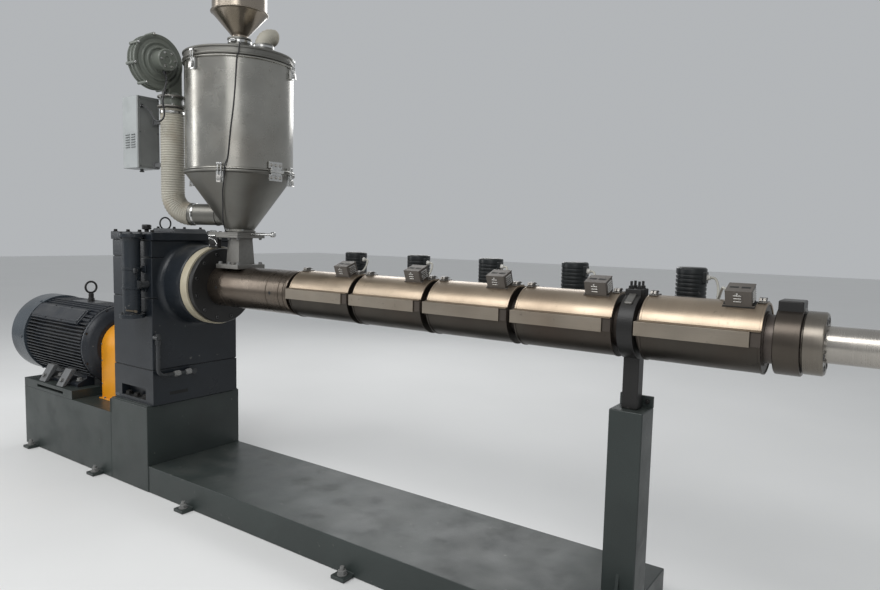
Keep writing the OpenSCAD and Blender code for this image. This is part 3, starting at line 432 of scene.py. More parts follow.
slide_top = slide_high.z
FOOT_X0 = -1.640
FOOT_LENGTH = 0.400
FOOT_OUTLINE = ((0.120, 0), (0.225, 0), (0.225, 0.020), (0.214, 0.026), (0.172, 0.046), (0.168, 0.056),
                (0.168, 0.127), (0.120, 0.127))
STRAP_OUTLINE = ((0.260, 0.001), (0.282, 0.001), (0.222, 0.100), (0.184, 0.100))
STRAP_WIDTH = 0.075
strap_places = (-1.606, -1.388)
foot_bolt_places = (-1.50, -1.27)
straps = bmesh.new()
motor_bolts = bmesh.new()
for side in (-1, 1):
    extruded(frame_parts, [(side * y, slide_top + z) for y, z in FOOT_OUTLINE], FOOT_LENGTH,
             end_view(FOOT_X0), 0.003)
    for x in strap_places:
        extruded(straps, [(side * y, slide_top + z) for y, z in STRAP_OUTLINE], STRAP_WIDTH, end_view(x),
                 0.003)
        hex_bolt(motor_bolts, (x + STRAP_WIDTH / 2, side * 0.262, slide_top + 0.034), (0, side * 0.86, 0.5),
                 0.020)
    for x in foot_bolt_places:
        hex_bolt(motor_bolts, (x, side * 0.197, slide_top + 0.033), (0, 0, 1), 0.026)
for up, out in around(8, 0.233):
    hex_bolt(frame_parts, (MOTOR_X1 + 0.014, out, SHAFT_H + up), (1, 0, 0), 0.014)
made("motor_body", frame_parts, motor_enamel, "motor_paint", "motor_frame")
made("motor_straps", straps, strap_enamel, "motor_paint")
made("motor_bolts", motor_bolts, zinc_bolts, "fitting_chrome")

COWL_R = 0.256
COWL_LENGTH = 0.190
ROLL = 0.022
roll_edge = [(COWL_R - ROLL + ROLL * math.cos(a), ROLL - ROLL * math.sin(a)) for a in bend(math.pi / 2, 8)]
cowl = bmesh.new()
turned(cowl, [(0, 0.012), (0.190, 0.012), (0.194, 0.003), (0.198, 0)] + roll_edge[::-1]
       + [(COWL_R, COWL_LENGTH - 0.002), (COWL_R - 0.002, COWL_LENGTH), (0, COWL_LENGTH)],
       along_x(MOTOR_X0, 0, SHAFT_H), 96)
for ring in range(12):
    r = 0.030 + ring * 0.0145
    turned(cowl, [(r - 0.002, 0.003), (r, 0.001), (r + 0.002, 0.003), (r, 0.005), (r - 0.002, 0.003)],
           along_x(MOTOR_X0, 0, SHAFT_H), 40)
for spoke in range(4):
    way = Vector((0, math.cos(spoke * math.pi / 4), math.sin(spoke * math.pi / 4)))
    hub = Vector((MOTOR_X0 + 0.006, 0, SHAFT_H))
    rod(cowl, hub - way * 0.194, hub + way * 0.194, 0.0025, sides=8, soft=0)
for up, out in around(6, 1):
    way = Vector((0, out, up))
    foot = Vector((MOTOR_X0 + 0.160, 0, SHAFT_H)) + way * COWL_R
    rod(cowl, foot, foot + way * 0.005, 0.009, 0.007, 14)
made("motor_fan_cowl", cowl, cowl_enamel, "motor_paint", "fan_cowl")

lid = bmesh.new()
lid_place = Matrix.Translation((BODY_X0 + 0.006, 0, SHAFT_H)) @ Matrix.Rotation(math.pi / 4, 4, "X")
LID_UP = 0.2483
block(lid, (0.004, -0.056, LID_UP - 0.030), (0.600, 0.056, LID_UP + 0.004), 0.003, lid_place)
block(lid, (0.016, -0.045, LID_UP - 0.004), (0.588, 0.045, LID_UP + 0.014), 0.009, lid_place)
for x in (0.010, 0.200, 0.400, 0.594):
    for y in (-0.050, 0.050):
        rod(lid, lid_place @ Vector((x, y, LID_UP + 0.003)), lid_place @ Vector((x, y, LID_UP + 0.009)),
            0.004, sides=6, soft=0)
made("motor_terminal_lid", lid, motor_enamel, "motor_paint", "terminal_cover")


# Coupling guard: one bent sheet that arches over the coupling from foot to foot, with folded
# rims, a lapped seam and screws at its feet, in orange-yellow safety enamel.
guard_enamel = painted("guard enamel", (0.66, 0.27, 0.010), rough=0.34, dust=0.25)
GUARD_HALF = 0.150
GUARD_X0 = -1.100
GUARD_X1 = -0.745
SHEET = 0.004
base_top = slide_low.z


def arch(half):
    """The guard's outline at a given half width, from the foot on one side to the other."""
    bow = [(half * math.cos(a), SHAFT_H + half * math.sin(a)) for a in bend(math.pi, 32)]
    return [(half, base_top)] + bow + [(-half, base_top)]


guard = bmesh.new()
extruded(guard, arch(GUARD_HALF - 0.0015) + arch(GUARD_HALF - SHEET)[::-1], GUARD_X1 - GUARD_X0 - 0.002,
         end_view(GUARD_X0 + 0.001), 0.0005)
for x, wide in ((GUARD_X0 + 0.001, 0.014), (GUARD_X0 + 0.196, 0.026), (GUARD_X1 - 0.016, 0.014)):
    extruded(guard, arch(GUARD_HALF) + arch(GUARD_HALF - SHEET)[::-1], wide, end_view(x), 0.0008)
guard_screws = bmesh.new()
for side in (-1, 1):
    near, far = sorted((side * (GUARD_HALF - SHEET), side * (GUARD_HALF + 0.020)))
    block(guard, (GUARD_X0 + 0.001, near, base_top), (GUARD_X1 - 0.001, far, base_top + 0.005), 0.0015)
    for x in (-1.050, -0.930, -0.800):
        hex_bolt(guard_screws, (x, side * (GUARD_HALF + 0.010), base_top + 0.005), (0, 0, 1), 0.012)
    for x in (-1.093, -0.752):
        for z in (0.46, 0.60, 0.70):
            rod(guard_screws, (x, side * GUARD_HALF, z), (x, side * (GUARD_HALF + 0.003), z), 0.005, 0.004,
                12)
made("coupling_guard_sheet", guard, guard_enamel, "guard_paint", "coupling_guard")
made("guard_screws", guard_screws, zinc_bolts, "fitting_chrome")


# Gearbox: a stacked cast housing, split at three levels, with pockets for its holding-down bolts
# and a narrow slot low on the barrel side drawn as a thin block of painted shade, a lid with an
# inspection hatch, a breather and forged lifting eyes, in dark blue-grey enamel.
gear_enamel = painted("gearbox enamel", (0.011, 0.014, 0.018), rough=0.32, dust=0.35, cast=0.35)
black_steel = painted("black oxide steel", (0.012, 0.0115, 0.011), rough=0.38, dust=0.2, chips=0.08)
# Near-black used as painted shade in slots, screw sinks, holes, vents and notches.
painted_shade_black = painted("painted shade in hollows", (0.010, 0.010, 0.010), rough=0.6, dust=0.1, chips=0)
gear_low, gear_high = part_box("gearbox_housing")
hatch_low, hatch_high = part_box("gearbox_cover")
LID_Z = 1.372
SPLITS = (0.650, 1.030, 1.242)
SPLIT_GAP = 0.003


def pocketed(bm, low, high, pockets, soft):
    """A block with pockets: each has two corners on the block's face and a push inwards."""
    part = bmesh.new()
    size = [h - l for l, h in zip(low, high)]
    middle = [(h + l) / 2 for l, h in zip(low, high)]
    bmesh.ops.create_cube(part, size=1.0, matrix=Matrix.Translation(middle) @ Matrix.Diagonal((*size, 1.0)))
    for first, last, push in pockets:
        push = Vector(push)
        across = [axis for axis in range(3) if push[axis] == 0]
        for axis in across:
            for edge in (first[axis], last[axis]):
                cut = [edge if i == axis else 0 for i in range(3)]
                way = [1 if i == axis else 0 for i in range(3)]
                bmesh.ops.bisect_plane(part, geom=part.verts[:] + part.edges[:] + part.faces[:],
                                       plane_co=cut, plane_no=way)
        part.normal_update()
        picked = [f for f in part.faces if f.normal.dot(push.normalized()) < -0.9
                  and all(first[axis] < f.calc_center_median()[axis] < last[axis] for axis in across)]
        grown = bmesh.ops.extrude_face_region(part, geom=picked)
        bmesh.ops.translate(part, verts=[v for v in grown["geom"] if isinstance(v, bmesh.types.BMVert)],
                            vec=push)
        bmesh.ops.delete(part, geom=picked, context="FACES_ONLY")
        bmesh.ops.recalc_face_normals(part, faces=part.faces)
    ease(part, soft)
    join(bm, part)


def side_view(y):
    """Read an outline as X and Z, drawn out from this Y towards the operator side."""
    return Matrix.Translation((0, y, 0)) @ Matrix.Rotation(math.pi / 2, 4, "X")


housing = bmesh.new()
edges = (gear_low.z, *SPLITS, gear_high.z)
middle_x = (gear_low.x + gear_high.x) / 2
POCKET_HALF = 0.115
foot_pockets = [((middle_x - POCKET_HALF, 0, 0.483), (middle_x + POCKET_HALF, 0, 0.543),
                 (0, push, 0)) for push in (0.045, -0.045)]
for level, (low, high) in enumerate(zip(edges, edges[1:])):
    pocketed(housing, (gear_low.x, gear_low.y, low),
             (gear_high.x, gear_high.y, high - (SPLIT_GAP if level < 3 else 0)),
             foot_pockets if level == 0 else [], 0.005)
block(housing, (gear_low.x + 0.006, gear_low.y + 0.006, gear_low.z + 0.1),
      (gear_high.x - 0.006, gear_high.y - 0.006, gear_high.z - 0.01), 0)
gear_bolts = bmesh.new()
for side in (-1, 1):
    face = side * gear_high.y
    for x in (middle_x - 0.080, middle_x, middle_x + 0.080):
        hex_bolt(gear_bolts, (x, face - side * 0.020, 0.4835), (0, 0, 1), 0.030)
made("gearbox_castings", housing, gear_enamel, "gearbox_paint", "gearbox_housing")
# The slot is a thin near-black block on the face: painted shade, not a cut.
foot_slot_shadow = bmesh.new()
block(foot_slot_shadow, (gear_high.x - 0.004, -0.170, 0.505), (gear_high.x + 0.0006, -0.060, 0.522), 0)
made("gearbox_foot_slot_shadow", foot_slot_shadow, painted_shade_black, "dark_steel")

cover = bmesh.new()
block(cover, hatch_low, (hatch_high.x, hatch_high.y, LID_Z), 0.004)
hatch_outline = ((-0.641, LID_Z), (-0.617, LID_Z + 0.020), (-0.613, LID_Z + 0.022), (-0.437, LID_Z + 0.022),
                 (-0.433, LID_Z + 0.020), (-0.409, LID_Z))
extruded(cover, hatch_outline, 0.200, side_view(0.100), 0.002)
for x in (-0.733, -0.610, -0.500, -0.385):
    for y in (-0.252, 0.252):
        hex_bolt(gear_bolts, (x, y, LID_Z), (0, 0, 1), 0.018)
for x in (-0.600, -0.450):
    for y in (-0.082, 0.082):
        hex_bolt(gear_bolts, (x, y, LID_Z + 0.022), (0, 0, 1), 0.014)
made("gearbox_lid", cover, gear_enamel, "gearbox_paint", "gearbox_cover")
made("gearbox_bolts", gear_bolts, black_steel, "dark_steel")

eyes = bmesh.new()
GEAR_EYE = (-0.659, LID_Z, 0.014, 0.0335, 0.0045)
MOTOR_EYE = (-1.490, 0.902, 0.066, 0.0355, 0.0065)
for x, z, shank, ring_r, bar in (GEAR_EYE, MOTOR_EYE):
    turned(eyes, [(0, 0), (bar * 2.9, 0), (bar * 2.9, 0.004), (bar * 2.5, 0.007),
                  (bar * 2.4, shank - 0.004), (bar * 1.8, shank), (0, shank)],
           Matrix.Translation((x, 0, z)), 24)
    loop = [(ring_r + bar * math.cos(i * FULL / 12), bar * math.sin(i * FULL / 12)) for i in range(13)]
    turned(eyes, loop, along_x(x, 0, z + shank + ring_r + bar * 0.4), 40)
collar = Vector((MOTOR_EYE[0], 0, MOTOR_EYE[1] + 0.008))
rod(eyes, collar, collar + Vector((0, 0, 0.028)), 0.022, 0.019, 20, 0.002)
made("lifting_eye_bolts", eyes, black_steel, "dark_steel", "lifting_eyes")

breather = bmesh.new()
turned(breather, [(0, 0), (0.012, 0), (0.012, 0.012), (0.022, 0.014), (0.0255, 0.017), (0.0255, 0.024),
                  (0.0235, 0.025), (0.0235, 0.027), (0.0255, 0.028), (0.0255, 0.036), (0.022, 0.041),
                  (0, 0.042)], Matrix.Translation((-0.700, -0.090, LID_Z)), 32)
made("breather_cap", breather, black_steel, "dark_steel", "breather")


# Oil cooler: an upright drawn tube with bolted end caps and two bands, held by brackets on the
# gearbox, with a union and a drain cock, and steel oil pipes with hexagon unions round the corner.
cooler_paint = painted("oil cooler enamel", (0.015, 0.019, 0.024), rough=0.28, dust=0.3)
pipe_steel = painted("oil pipe steel", (0.026, 0.028, 0.030), rough=0.30, dust=0.3, chips=0.2)
brass = painted("brass cock", (0.10, 0.08, 0.055), rough=0.34, dust=0.2, chips=0)
COOLER = Vector((-0.455, -0.327, 0.930))
cooler = bmesh.new()
turned(cooler, [(0, 0), (0.060, 0), (0.062, 0.002), (0.062, 0.018), (0.060, 0.020), (0.045, 0.021),
                (0.044, 0.026), (0.044, 0.148), (0.0475, 0.150), (0.0475, 0.160), (0.044, 0.162),
                (0.044, 0.246), (0.0475, 0.248), (0.0475, 0.258), (0.044, 0.260), (0.044, 0.392),
                (0.054, 0.412), (0.060, 0.414), (0.062, 0.416), (0.062, 0.432), (0.060, 0.434),
                (0.018, 0.434), (0.016, 0.430), (0, 0.430)], Matrix.Translation(COOLER), 48)
for z in (0.150, 0.248):
    block(cooler, (-0.023, 0.030, z - 0.011), (0.023, 0.062, z + 0.011), 0.002, Matrix.Translation(COOLER))
    block(cooler, (-0.034, 0.0555, z - 0.020), (0.034, 0.062, z + 0.020), 0.002, Matrix.Translation(COOLER))
cooler_fittings = bmesh.new()
for z, way in ((0.020, 1), (0.4145, -1), (0.434, 1)):
    for x, y in around(6, 0.0535):
        hex_bolt(cooler_fittings, COOLER + Vector((x, y, z)), (0, 0, way), 0.011)
turned(cooler_fittings, [(0, 0), (0.022, 0), (0.022, 0.012), (0.018, 0.014), (0.018, 0.060), (0, 0.060)],
       Matrix.Translation(COOLER + Vector((0.046, 0.001, 0.172))) @ Matrix.Rotation(-math.pi / 2, 4, "X"), 28)
block(cooler_fittings, COOLER + Vector((0.031, 0.000, 0.152)), COOLER + Vector((0.058, 0.023, 0.192)), 0.003)
knob = COOLER + Vector((0.052, 0.004, 0.245))
rod(cooler_fittings, knob, knob + Vector((0, -0.012, 0)), 0.006, sides=14)
turned(cooler_fittings, [(0, 0), (0.010, 0), (0.013, 0.004), (0.013, 0.012), (0.009, 0.015), (0, 0.015)],
       Matrix.Translation(knob + Vector((0, -0.010, 0))) @ Matrix.Rotation(math.pi / 2, 4, "X"), 20)
made("oil_cooler_body", cooler, cooler_paint, "gearbox_paint", "oil_cooler")
drain = bmesh.new()
rod(drain, COOLER + Vector((0.040, -0.010, 0.036)), COOLER + Vector((0.062, -0.014, 0.036)), 0.007, sides=6)
rod(drain, COOLER + Vector((0.050, -0.012, 0.036)), COOLER + Vector((0.030, -0.052, 0.044)), 0.0035, 0.005,
    12)
made("oil_cooler_drain_cock", drain, brass, "fitting_chrome")
made("oil_cooler_fittings", cooler_fittings, pipe_steel, "dark_steel")


def swept(bm, points, radius, sides=12, smooth=4, ripple=0.0, pitch=0.0):
    """A round tube along a route, its points joined by smooth curves. A ripple makes it ribbed."""
    route = [Vector(p) for p in points]
    if smooth > 1:
        ends = [route[0] * 2 - route[1]] + route + [route[-1] * 2 - route[-2]]
        fine = []
        for a, b, c, d in zip(ends, ends[1:], ends[2:], ends[3:]):
            for step in range(smooth):
                t = step / smooth
                square = (a * 2 - b * 5 + c * 4 - d) * t ** 2
                cube = (b * 3 - a - c * 3 + d) * t ** 3
                fine.append((b * 2 + (c - a) * t + square + cube) / 2)
        route = fine + [route[-1]]
    if pitch:
        spaced = [route[0]]
        left = pitch / 2
        for a, b in zip(route, route[1:]):
            length = (b - a).length
            gone = 0.0
            while length - gone >= left:
                gone += left
                spaced.append(a.lerp(b, gone / length))
                left = pitch / 2
            left -= length - gone
        route = spaced
    part = bmesh.new()
    way = (route[1] - route[0]).normalized()
    side = way.orthogonal().normalized()
    turns = [k * FULL / sides for k in range(sides)]
    rings = []
    for i, point in enumerate(route):
        ahead = (route[min(i + 1, len(route) - 1)] - route[max(i - 1, 0)]).normalized()
        side = way.rotation_difference(ahead) @ side
        way = ahead
        other = way.cross(side)
        r = radius - (ripple if i % 2 else 0)
        spokes = [math.cos(turn) * side + math.sin(turn) * other for turn in turns]
        rings.append([part.verts.new(point + r * spoke) for spoke in spokes])
    for one, two in zip(rings, rings[1:]):
        for k in range(sides):
            part.faces.new((one[k], one[(k + 1) % sides], two[(k + 1) % sides], two[k]))
    part.faces.new(rings[0][::-1])
    part.faces.new(rings[-1])
    join(bm, part)


PIPE_X = -0.345
PIPE_Y = -0.253
LOW_Z = 0.623
pipes = bmesh.new()
PIPE_BEND = 0.036
pipe_route = [(PIPE_X, PIPE_Y, 0.846), (PIPE_X, PIPE_Y, 0.75)]
for a in bend(math.pi / 2, 6):
    pipe_route.append((PIPE_X, PIPE_Y + PIPE_BEND * (1 - math.cos(a)), LOW_Z + PIPE_BEND * (1 - math.sin(a))))
pipe_route += [(PIPE_X, -0.12, LOW_Z), (PIPE_X, -0.027, LOW_Z)]
swept(pipes, pipe_route, 0.010, 16, smooth=1)
rod(pipes, (-0.375, PIPE_Y, 0.826), (PIPE_X + 0.008, PIPE_Y, 0.826), 0.013, sides=24, soft=0.002)
rod(pipes, (-0.375, -0.047, LOW_Z), (PIPE_X + 0.015, -0.047, LOW_Z), 0.017, sides=6, soft=0.001)
rod(pipes, (PIPE_X, PIPE_Y, 0.790), (PIPE_X, PIPE_Y, 0.812), 0.0155, sides=6, soft=0.001)
pipe_unions = bmesh.new()
for y in (-0.157, -0.087):
    rod(pipe_unions, (PIPE_X, y, LOW_Z), (PIPE_X, y + 0.026, LOW_Z), 0.016, sides=6, soft=0.001)
    rod(pipe_unions, (PIPE_X, y - 0.006, LOW_Z), (PIPE_X, y + 0.032, LOW_Z), 0.012, sides=20, soft=0.001)
made("oil_pipe_run", pipes, pipe_steel, "dark_steel", "oil_pipes")
made("oil_pipe_unions", pipe_unions, zinc_bolts, "fitting_chrome")


# Thrust bearing housing, spacer and rear flange: a cast drum that flares into the gearbox, a
# cream-painted turned ring, and a dark flange with twelve socket screws sunk in it.
SCREW_Z = 1.100


def steel(name, colour, rough, grain, stain=(0.10, 0.07, 0.05), stained=0.4, brushed=0.5, depth=0.00006):
    """Bare metal with fine marks across the grain, cloudy wear and brown staining."""
    material, shader, place = new_finish(name)
    marks = place.cloud(1.0, 3, grain)
    tone = (marks * brushed + place.cloud(5, 6) * (1.0 - brushed)).span(0.28, 0.72)
    metal = tone.tint([c * 0.80 for c in colour] + [1], [min(c * 1.16, 1.0) for c in colour] + [1])
    brown = place.cloud(3.2, 7).span(0.50, 0.78) * stained
    metal = brown.tint(metal, (*stain, 1))
    spots = place.cloud(55, 4).span(0.66, 0.74) * 0.35
    metal = spots.tint(metal, [c * 0.35 for c in colour] + [1])
    shader.inputs["Metallic"].default_value = 0.92
    worn = (marks * brushed + place.cloud(11, 6) * (1.0 - brushed)).span(0.3, 0.7, rough - 0.05, rough + 0.08)
    lay(shader, place, metal, worn + brown * 0.15, marks - spots * 0.4, depth)
    return material


LATHE_X = (900, 6, 6)
cream_enamel = painted("cream enamel", (0.42, 0.375, 0.275), rough=0.34, dust=0.2)
feed_steel = steel("heat browned turned steel", (0.125, 0.103, 0.083), 0.27, LATHE_X, brushed=0.35)
socket_black = steel("black socket screws", (0.10, 0.10, 0.10), 0.32, (90, 90, 90), stained=0.2)
THRUST_R = 0.210
THRUST_X0 = -0.375
SPACER_X0 = -0.222
FLANGE_X0 = -0.168
FEED_X0 = -0.135
THRUST_END = SPACER_X0 - THRUST_X0
FLARE = 0.030
flare = [(THRUST_R + FLARE * (1 - math.sin(a)), FLARE * (1 - math.cos(a))) for a in bend(math.pi / 2, 8)]
thrust = bmesh.new()
turned(thrust, [(0, 0), (THRUST_R + FLARE, 0)] + flare[1:]
       + [(THRUST_R, 0.060), (THRUST_R, THRUST_END - 0.012), (THRUST_R - 0.004, THRUST_END - 0.004),
          (THRUST_R - 0.008, THRUST_END), (0, THRUST_END)], along_x(THRUST_X0, 0, SCREW_Z), 96)
made("thrust_bearing_drum", thrust, gear_enamel, "gearbox_paint", "bearing_housing")
spacer = bmesh.new()
turned(spacer, [(0, 0), (0.202, 0), (0.205, 0.003), (0.205, 0.051), (0.202, 0.054), (0, 0.054)],
       along_x(SPACER_X0, 0, SCREW_Z), 96)
made("cream_spacer", spacer, cream_enamel, "cream_paint", "spacer_ring")


def socket_screw(bm, foot, way, size):
    """A socket head screw with its hexagon hole."""
    turned(bm, [(0, 0), (size / 2, 0), (size / 2, size * 0.5), (size * 0.42, size * 0.6),
                (size * 0.29, size * 0.6), (size * 0.25, size * 0.3), (0, size * 0.28)],
           Matrix.Translation(foot) @ Vector(way).to_track_quat("Z", "Y").to_matrix().to_4x4(), 18)


def sunk_screws(sink_shadows, screws, count, radius, x, shadow_radius, size):
    """A circle of socket screws sunk in a flange's face, and discs of painted shade for the hollows round
    their heads.
    """
    for up, out in around(count, radius):
        foot = Vector((x, out, SCREW_Z + up))
        rod(sink_shadows, foot - Vector((0.002, 0, 0)), foot + Vector((0.0003, 0, 0)), shadow_radius, sides=24, soft=0)
        socket_screw(screws, foot - Vector((0.008, 0, 0)), (1, 0, 0), size)


FLANGE_R = 0.196
flange = bmesh.new()
turned(flange, [(0, 0), (FLANGE_R - 0.003, 0), (FLANGE_R, 0.003), (FLANGE_R, 0.029),
                (FLANGE_R - 0.003, 0.033), (0, 0.033)],
       along_x(FLANGE_X0, 0, SCREW_Z), 96)
made("rear_flange_disc", flange, black_steel, "dark_steel", "rear_flange")
# The dark discs round the screw heads are painted shade in their hollows.
sink_shadows = bmesh.new()
screws = bmesh.new()
sunk_screws(sink_shadows, screws, 12, 0.170, FEED_X0, 0.0135, 0.019)
made("flange_screw_sink_shadows", sink_shadows, painted_shade_black, "dark_steel")
made("flange_screws", screws, socket_black, "dark_steel")


# Feed section: a turned steel sleeve between flange and heated barrel, with grooves at its joints,
# spanner holes in its side drawn as discs of painted shade, and a flat seat for the hopper neck.
FEED_R = 0.106
FEED_X1 = 0.455
GROOVE = 0.002
feed_profile = [(0, 0), (FEED_R - 0.002, 0), (FEED_R, 0.002)]
for x in (-0.032, 0.313, 0.400, 0.432):
    start = x - FEED_X0
    feed_profile += [(FEED_R, start - 0.001), (FEED_R - GROOVE, start), (FEED_R - GROOVE, start + 0.003),
                     (FEED_R, start + 0.004)]
feed_profile += [(FEED_R, FEED_X1 - FEED_X0 - 0.003), (FEED_R - 0.003, FEED_X1 - FEED_X0),
                 (0, FEED_X1 - FEED_X0)]
feed = bmesh.new()
turned(feed, feed_profile, along_x(FEED_X0, 0, SCREW_Z), 96)
made("feed_sleeve", feed, feed_steel, "feed_steel", "feed_section")
hole_shadows = bmesh.new()
for x in (-0.060, 0.345):
    rod(hole_shadows, (x, -FEED_R + 0.004, SCREW_Z), (x, -FEED_R - 0.0003, SCREW_Z), 0.008, sides=28, soft=0)
made("spanner_hole_shadows", hole_shadows, painted_shade_black, "dark_steel")


# Hopper neck and slide gate: a square welded neck on the feed sleeve, and on it a steel blade with
# a pull rod, held by a bolted catch with a bent lever.
neck_steel = steel("dull steel plate", (0.22, 0.215, 0.20), 0.42, (60, 60, 60), stained=0.5)
bright_steel = steel("bright turned steel", (0.40, 0.375, 0.34), 0.22, LATHE_X, stained=0.3, brushed=0.28)
chrome = steel("chrome fittings", (0.52, 0.52, 0.51), 0.16, (30, 30, 30), stained=0.1)
PLATE = 0.086
GATE_Z = 1.366
NECK_Z = 1.198
NECK_FOOT_Z = 1.220
NECK_HEAD_Z = 1.354
neck = bmesh.new()
block(neck, (-PLATE, -PLATE, NECK_Z), (PLATE, PLATE, NECK_FOOT_Z), 0.002)
block(neck, (-PLATE, -PLATE, NECK_HEAD_Z), (PLATE, PLATE, GATE_Z), 0.0015)
DIAGONAL = math.sqrt(2)
square_on = Matrix.Translation((0, 0, NECK_FOOT_Z - 0.006)) @ Matrix.Rotation(math.pi / 4, 4, "Z")
turned(neck, [(0, 0), (0.050 * DIAGONAL, 0), (0.042 * DIAGONAL, 0.144), (0, 0.144)], square_on, 4)
neck_bolts = bmesh.new()
for x in (-0.070, 0, 0.070):
    for y in (-0.070, 0.070):
        hex_bolt(neck_bolts, (x, y, NECK_FOOT_Z), (0, 0, 1), 0.017)
        hex_bolt(neck_bolts, (x, y, NECK_HEAD_Z), (0, 0, -1), 0.013)
made("hopper_neck", neck, neck_steel, "cone_steel", "feed_neck")
made("hopper_neck_bolts", neck_bolts, zinc_bolts, "fitting_chrome")

BLADE_X0 = -0.152
BLADE_TOP = 1.382
gate = bmesh.new()
block(gate, (BLADE_X0, -PLATE, GATE_Z), (PLATE, PLATE, GATE_Z + 0.005), 0.001)
block(gate, (BLADE_X0 + 0.002, -PLATE + 0.003, GATE_Z + 0.004),
      (PLATE - 0.002, PLATE - 0.003, BLADE_TOP - 0.004), 0.001)
block(gate, (BLADE_X0, -PLATE, BLADE_TOP - 0.005), (PLATE, PLATE, BLADE_TOP), 0.001)
made("gate_plates", gate, neck_steel, "bright_steel", "slide_gate")
puller = bmesh.new()
ROD_Z = 1.374
rod(puller, (PLATE, 0, ROD_Z), (0.240, 0, ROD_Z), 0.006, sides=20)
turned(puller, [(0, 0), (0.009, 0), (0.013, 0.005), (0.013, 0.019), (0.010, 0.0235), (0, 0.024)],
       along_x(0.236, 0, ROD_Z), 28)
rod(puller, (PLATE - 0.001, 0, ROD_Z), (PLATE + 0.008, 0, ROD_Z), 0.0075, sides=6)
block(puller, (-0.150, -PLATE - 0.0002, GATE_Z - 0.009), (-0.092, -0.062, GATE_Z + 0.0002), 0.0015)
for x in (-0.140, -0.122, -0.104):
    hex_bolt(puller, (x, -0.074, BLADE_TOP), (0, 0, 1), 0.011)
swept(puller, [(-0.146, -0.083, 1.352), (-0.120, -0.0835, 1.346), (-0.096, -0.083, 1.336),
               (-0.082, -0.082, 1.318)], 0.0026, 10)
CATCH_Z = 1.312
for x, z in ((-0.143, CATCH_Z), (-0.087, CATCH_Z), (-0.143, CATCH_Z + 0.033)):
    rod(puller, (x, -0.0815, z), (x, -0.0855, z), 0.005, 0.004, 12)
made("gate_pull_rod_and_lever", puller, chrome, "fitting_chrome")
catch = bmesh.new()
block(catch, (BLADE_X0, -0.082, CATCH_Z - 0.012), (-0.078, -0.056, GATE_Z), 0.003)
block(catch, (-0.136, -0.0855, CATCH_Z + 0.004), (-0.094, -0.080, CATCH_Z + 0.026), 0.002)
made("gate_catch", catch, black_steel, "dark_steel")


# Barrel: a dark nitrided tube inside five heater covers. Each cover is a round satin stainless
# shell in two halves; the upper one laps over a flat joint strip, and both have rolled rims.
cover_upper = steel("warm satin cover sheet", (0.37, 0.300, 0.225), 0.31, (700, 5, 5), (0.16, 0.105, 0.065),
                    0.35, 0.22)
# The lower halves are the upper sheet painted much darker: painted shade on the underside.
cover_lower_shaded = steel("lower cover sheet in painted shade", (0.062, 0.055, 0.047), 0.36, (700, 5, 5), (0.06, 0.04, 0.03), 0.5,
                    0.22)
strip_steel = steel("joint strip sheet", (0.30, 0.262, 0.215), 0.37, (5, 40, 700), (0.18, 0.13, 0.09), 0.4,
                    0.25)
# Dark brown for the strip end plates, also used as painted shade in the gap above each strip.
end_plate_and_gap_shade_brown = painted("dark brown end plates and painted gap shade", (0.050, 0.040, 0.032), rough=0.34, dust=0.1)
barrel_dark = steel("nitrided barrel", (0.12, 0.105, 0.095), 0.42, LATHE_X, stained=0.6)
ZONE_STARTS = (0.482, 0.877, 1.272, 1.667, 2.124)
COVER_LENGTH = 0.366
COVER_R = 0.1115
BARREL_R = 0.075
HEAD_X0 = 2.518
tube = bmesh.new()
turned(tube, [(0, 0), (BARREL_R, 0), (BARREL_R, HEAD_X0 - FEED_X1), (0, HEAD_X0 - FEED_X1)],
       along_x(FEED_X1, 0, SCREW_Z), 64)
for x in (*ZONE_STARTS, ZONE_STARTS[4] + COVER_LENGTH + 0.010):
    turned(tube, [(BARREL_R, -0.016), (0.084, -0.015), (0.084, -0.009), (BARREL_R, -0.008)],
           along_x(x, 0, SCREW_Z), 48)
made("barrel_body", tube, barrel_dark, "dark_steel", "barrel_tube")


def half_shell(bm, inner, outer, x, length, first, last, soft=0.0006, steps=40):
    """Part of a round shell along the screw, between two angles up from the operator side."""
    bow = [(-math.cos(first + a), math.sin(first + a)) for a in bend(last - first, steps)]
    outside = [(outer * y, SCREW_Z + outer * z) for y, z in bow]
    inside = [(inner * y, SCREW_Z + inner * z) for y, z in bow[::-1]]
    extruded(bm, outside + inside, length, end_view(x), soft)


RIM = 0.007
LAP = math.radians(17.5)
BACK_LAP = math.radians(188)
for number, x in enumerate(ZONE_STARTS, start=1):
    lower = bmesh.new()
    turned(lower, [(BARREL_R + 0.004, 0.004), (0.1075, 0.003), (0.1085, 0.001),
                   (0.1085, COVER_LENGTH - 0.001), (0.1075, COVER_LENGTH - 0.003),
                   (BARREL_R + 0.004, COVER_LENGTH - 0.004)], along_x(x, 0, SCREW_Z), 80)
    for start in (x + 0.0004, x + COVER_LENGTH - RIM - 0.0004):
        half_shell(lower, 0.106, 0.1108, start, RIM, BACK_LAP - FULL, LAP, 0.001)
    made(f"cover_{number}_lower_half", lower, cover_lower_shaded, "cover_steel", f"zone_cover_{number}")
    upper = bmesh.new()
    half_shell(upper, 0.1072, COVER_R - 0.0012, x + 0.002, COVER_LENGTH - 0.004, LAP, BACK_LAP)
    for start in (x + 0.0002, x + COVER_LENGTH - RIM - 0.0002):
        half_shell(upper, 0.105, COVER_R, start, RIM, LAP, BACK_LAP, 0.001)
    made(f"cover_{number}_upper_half", upper, cover_upper, "cover_steel")

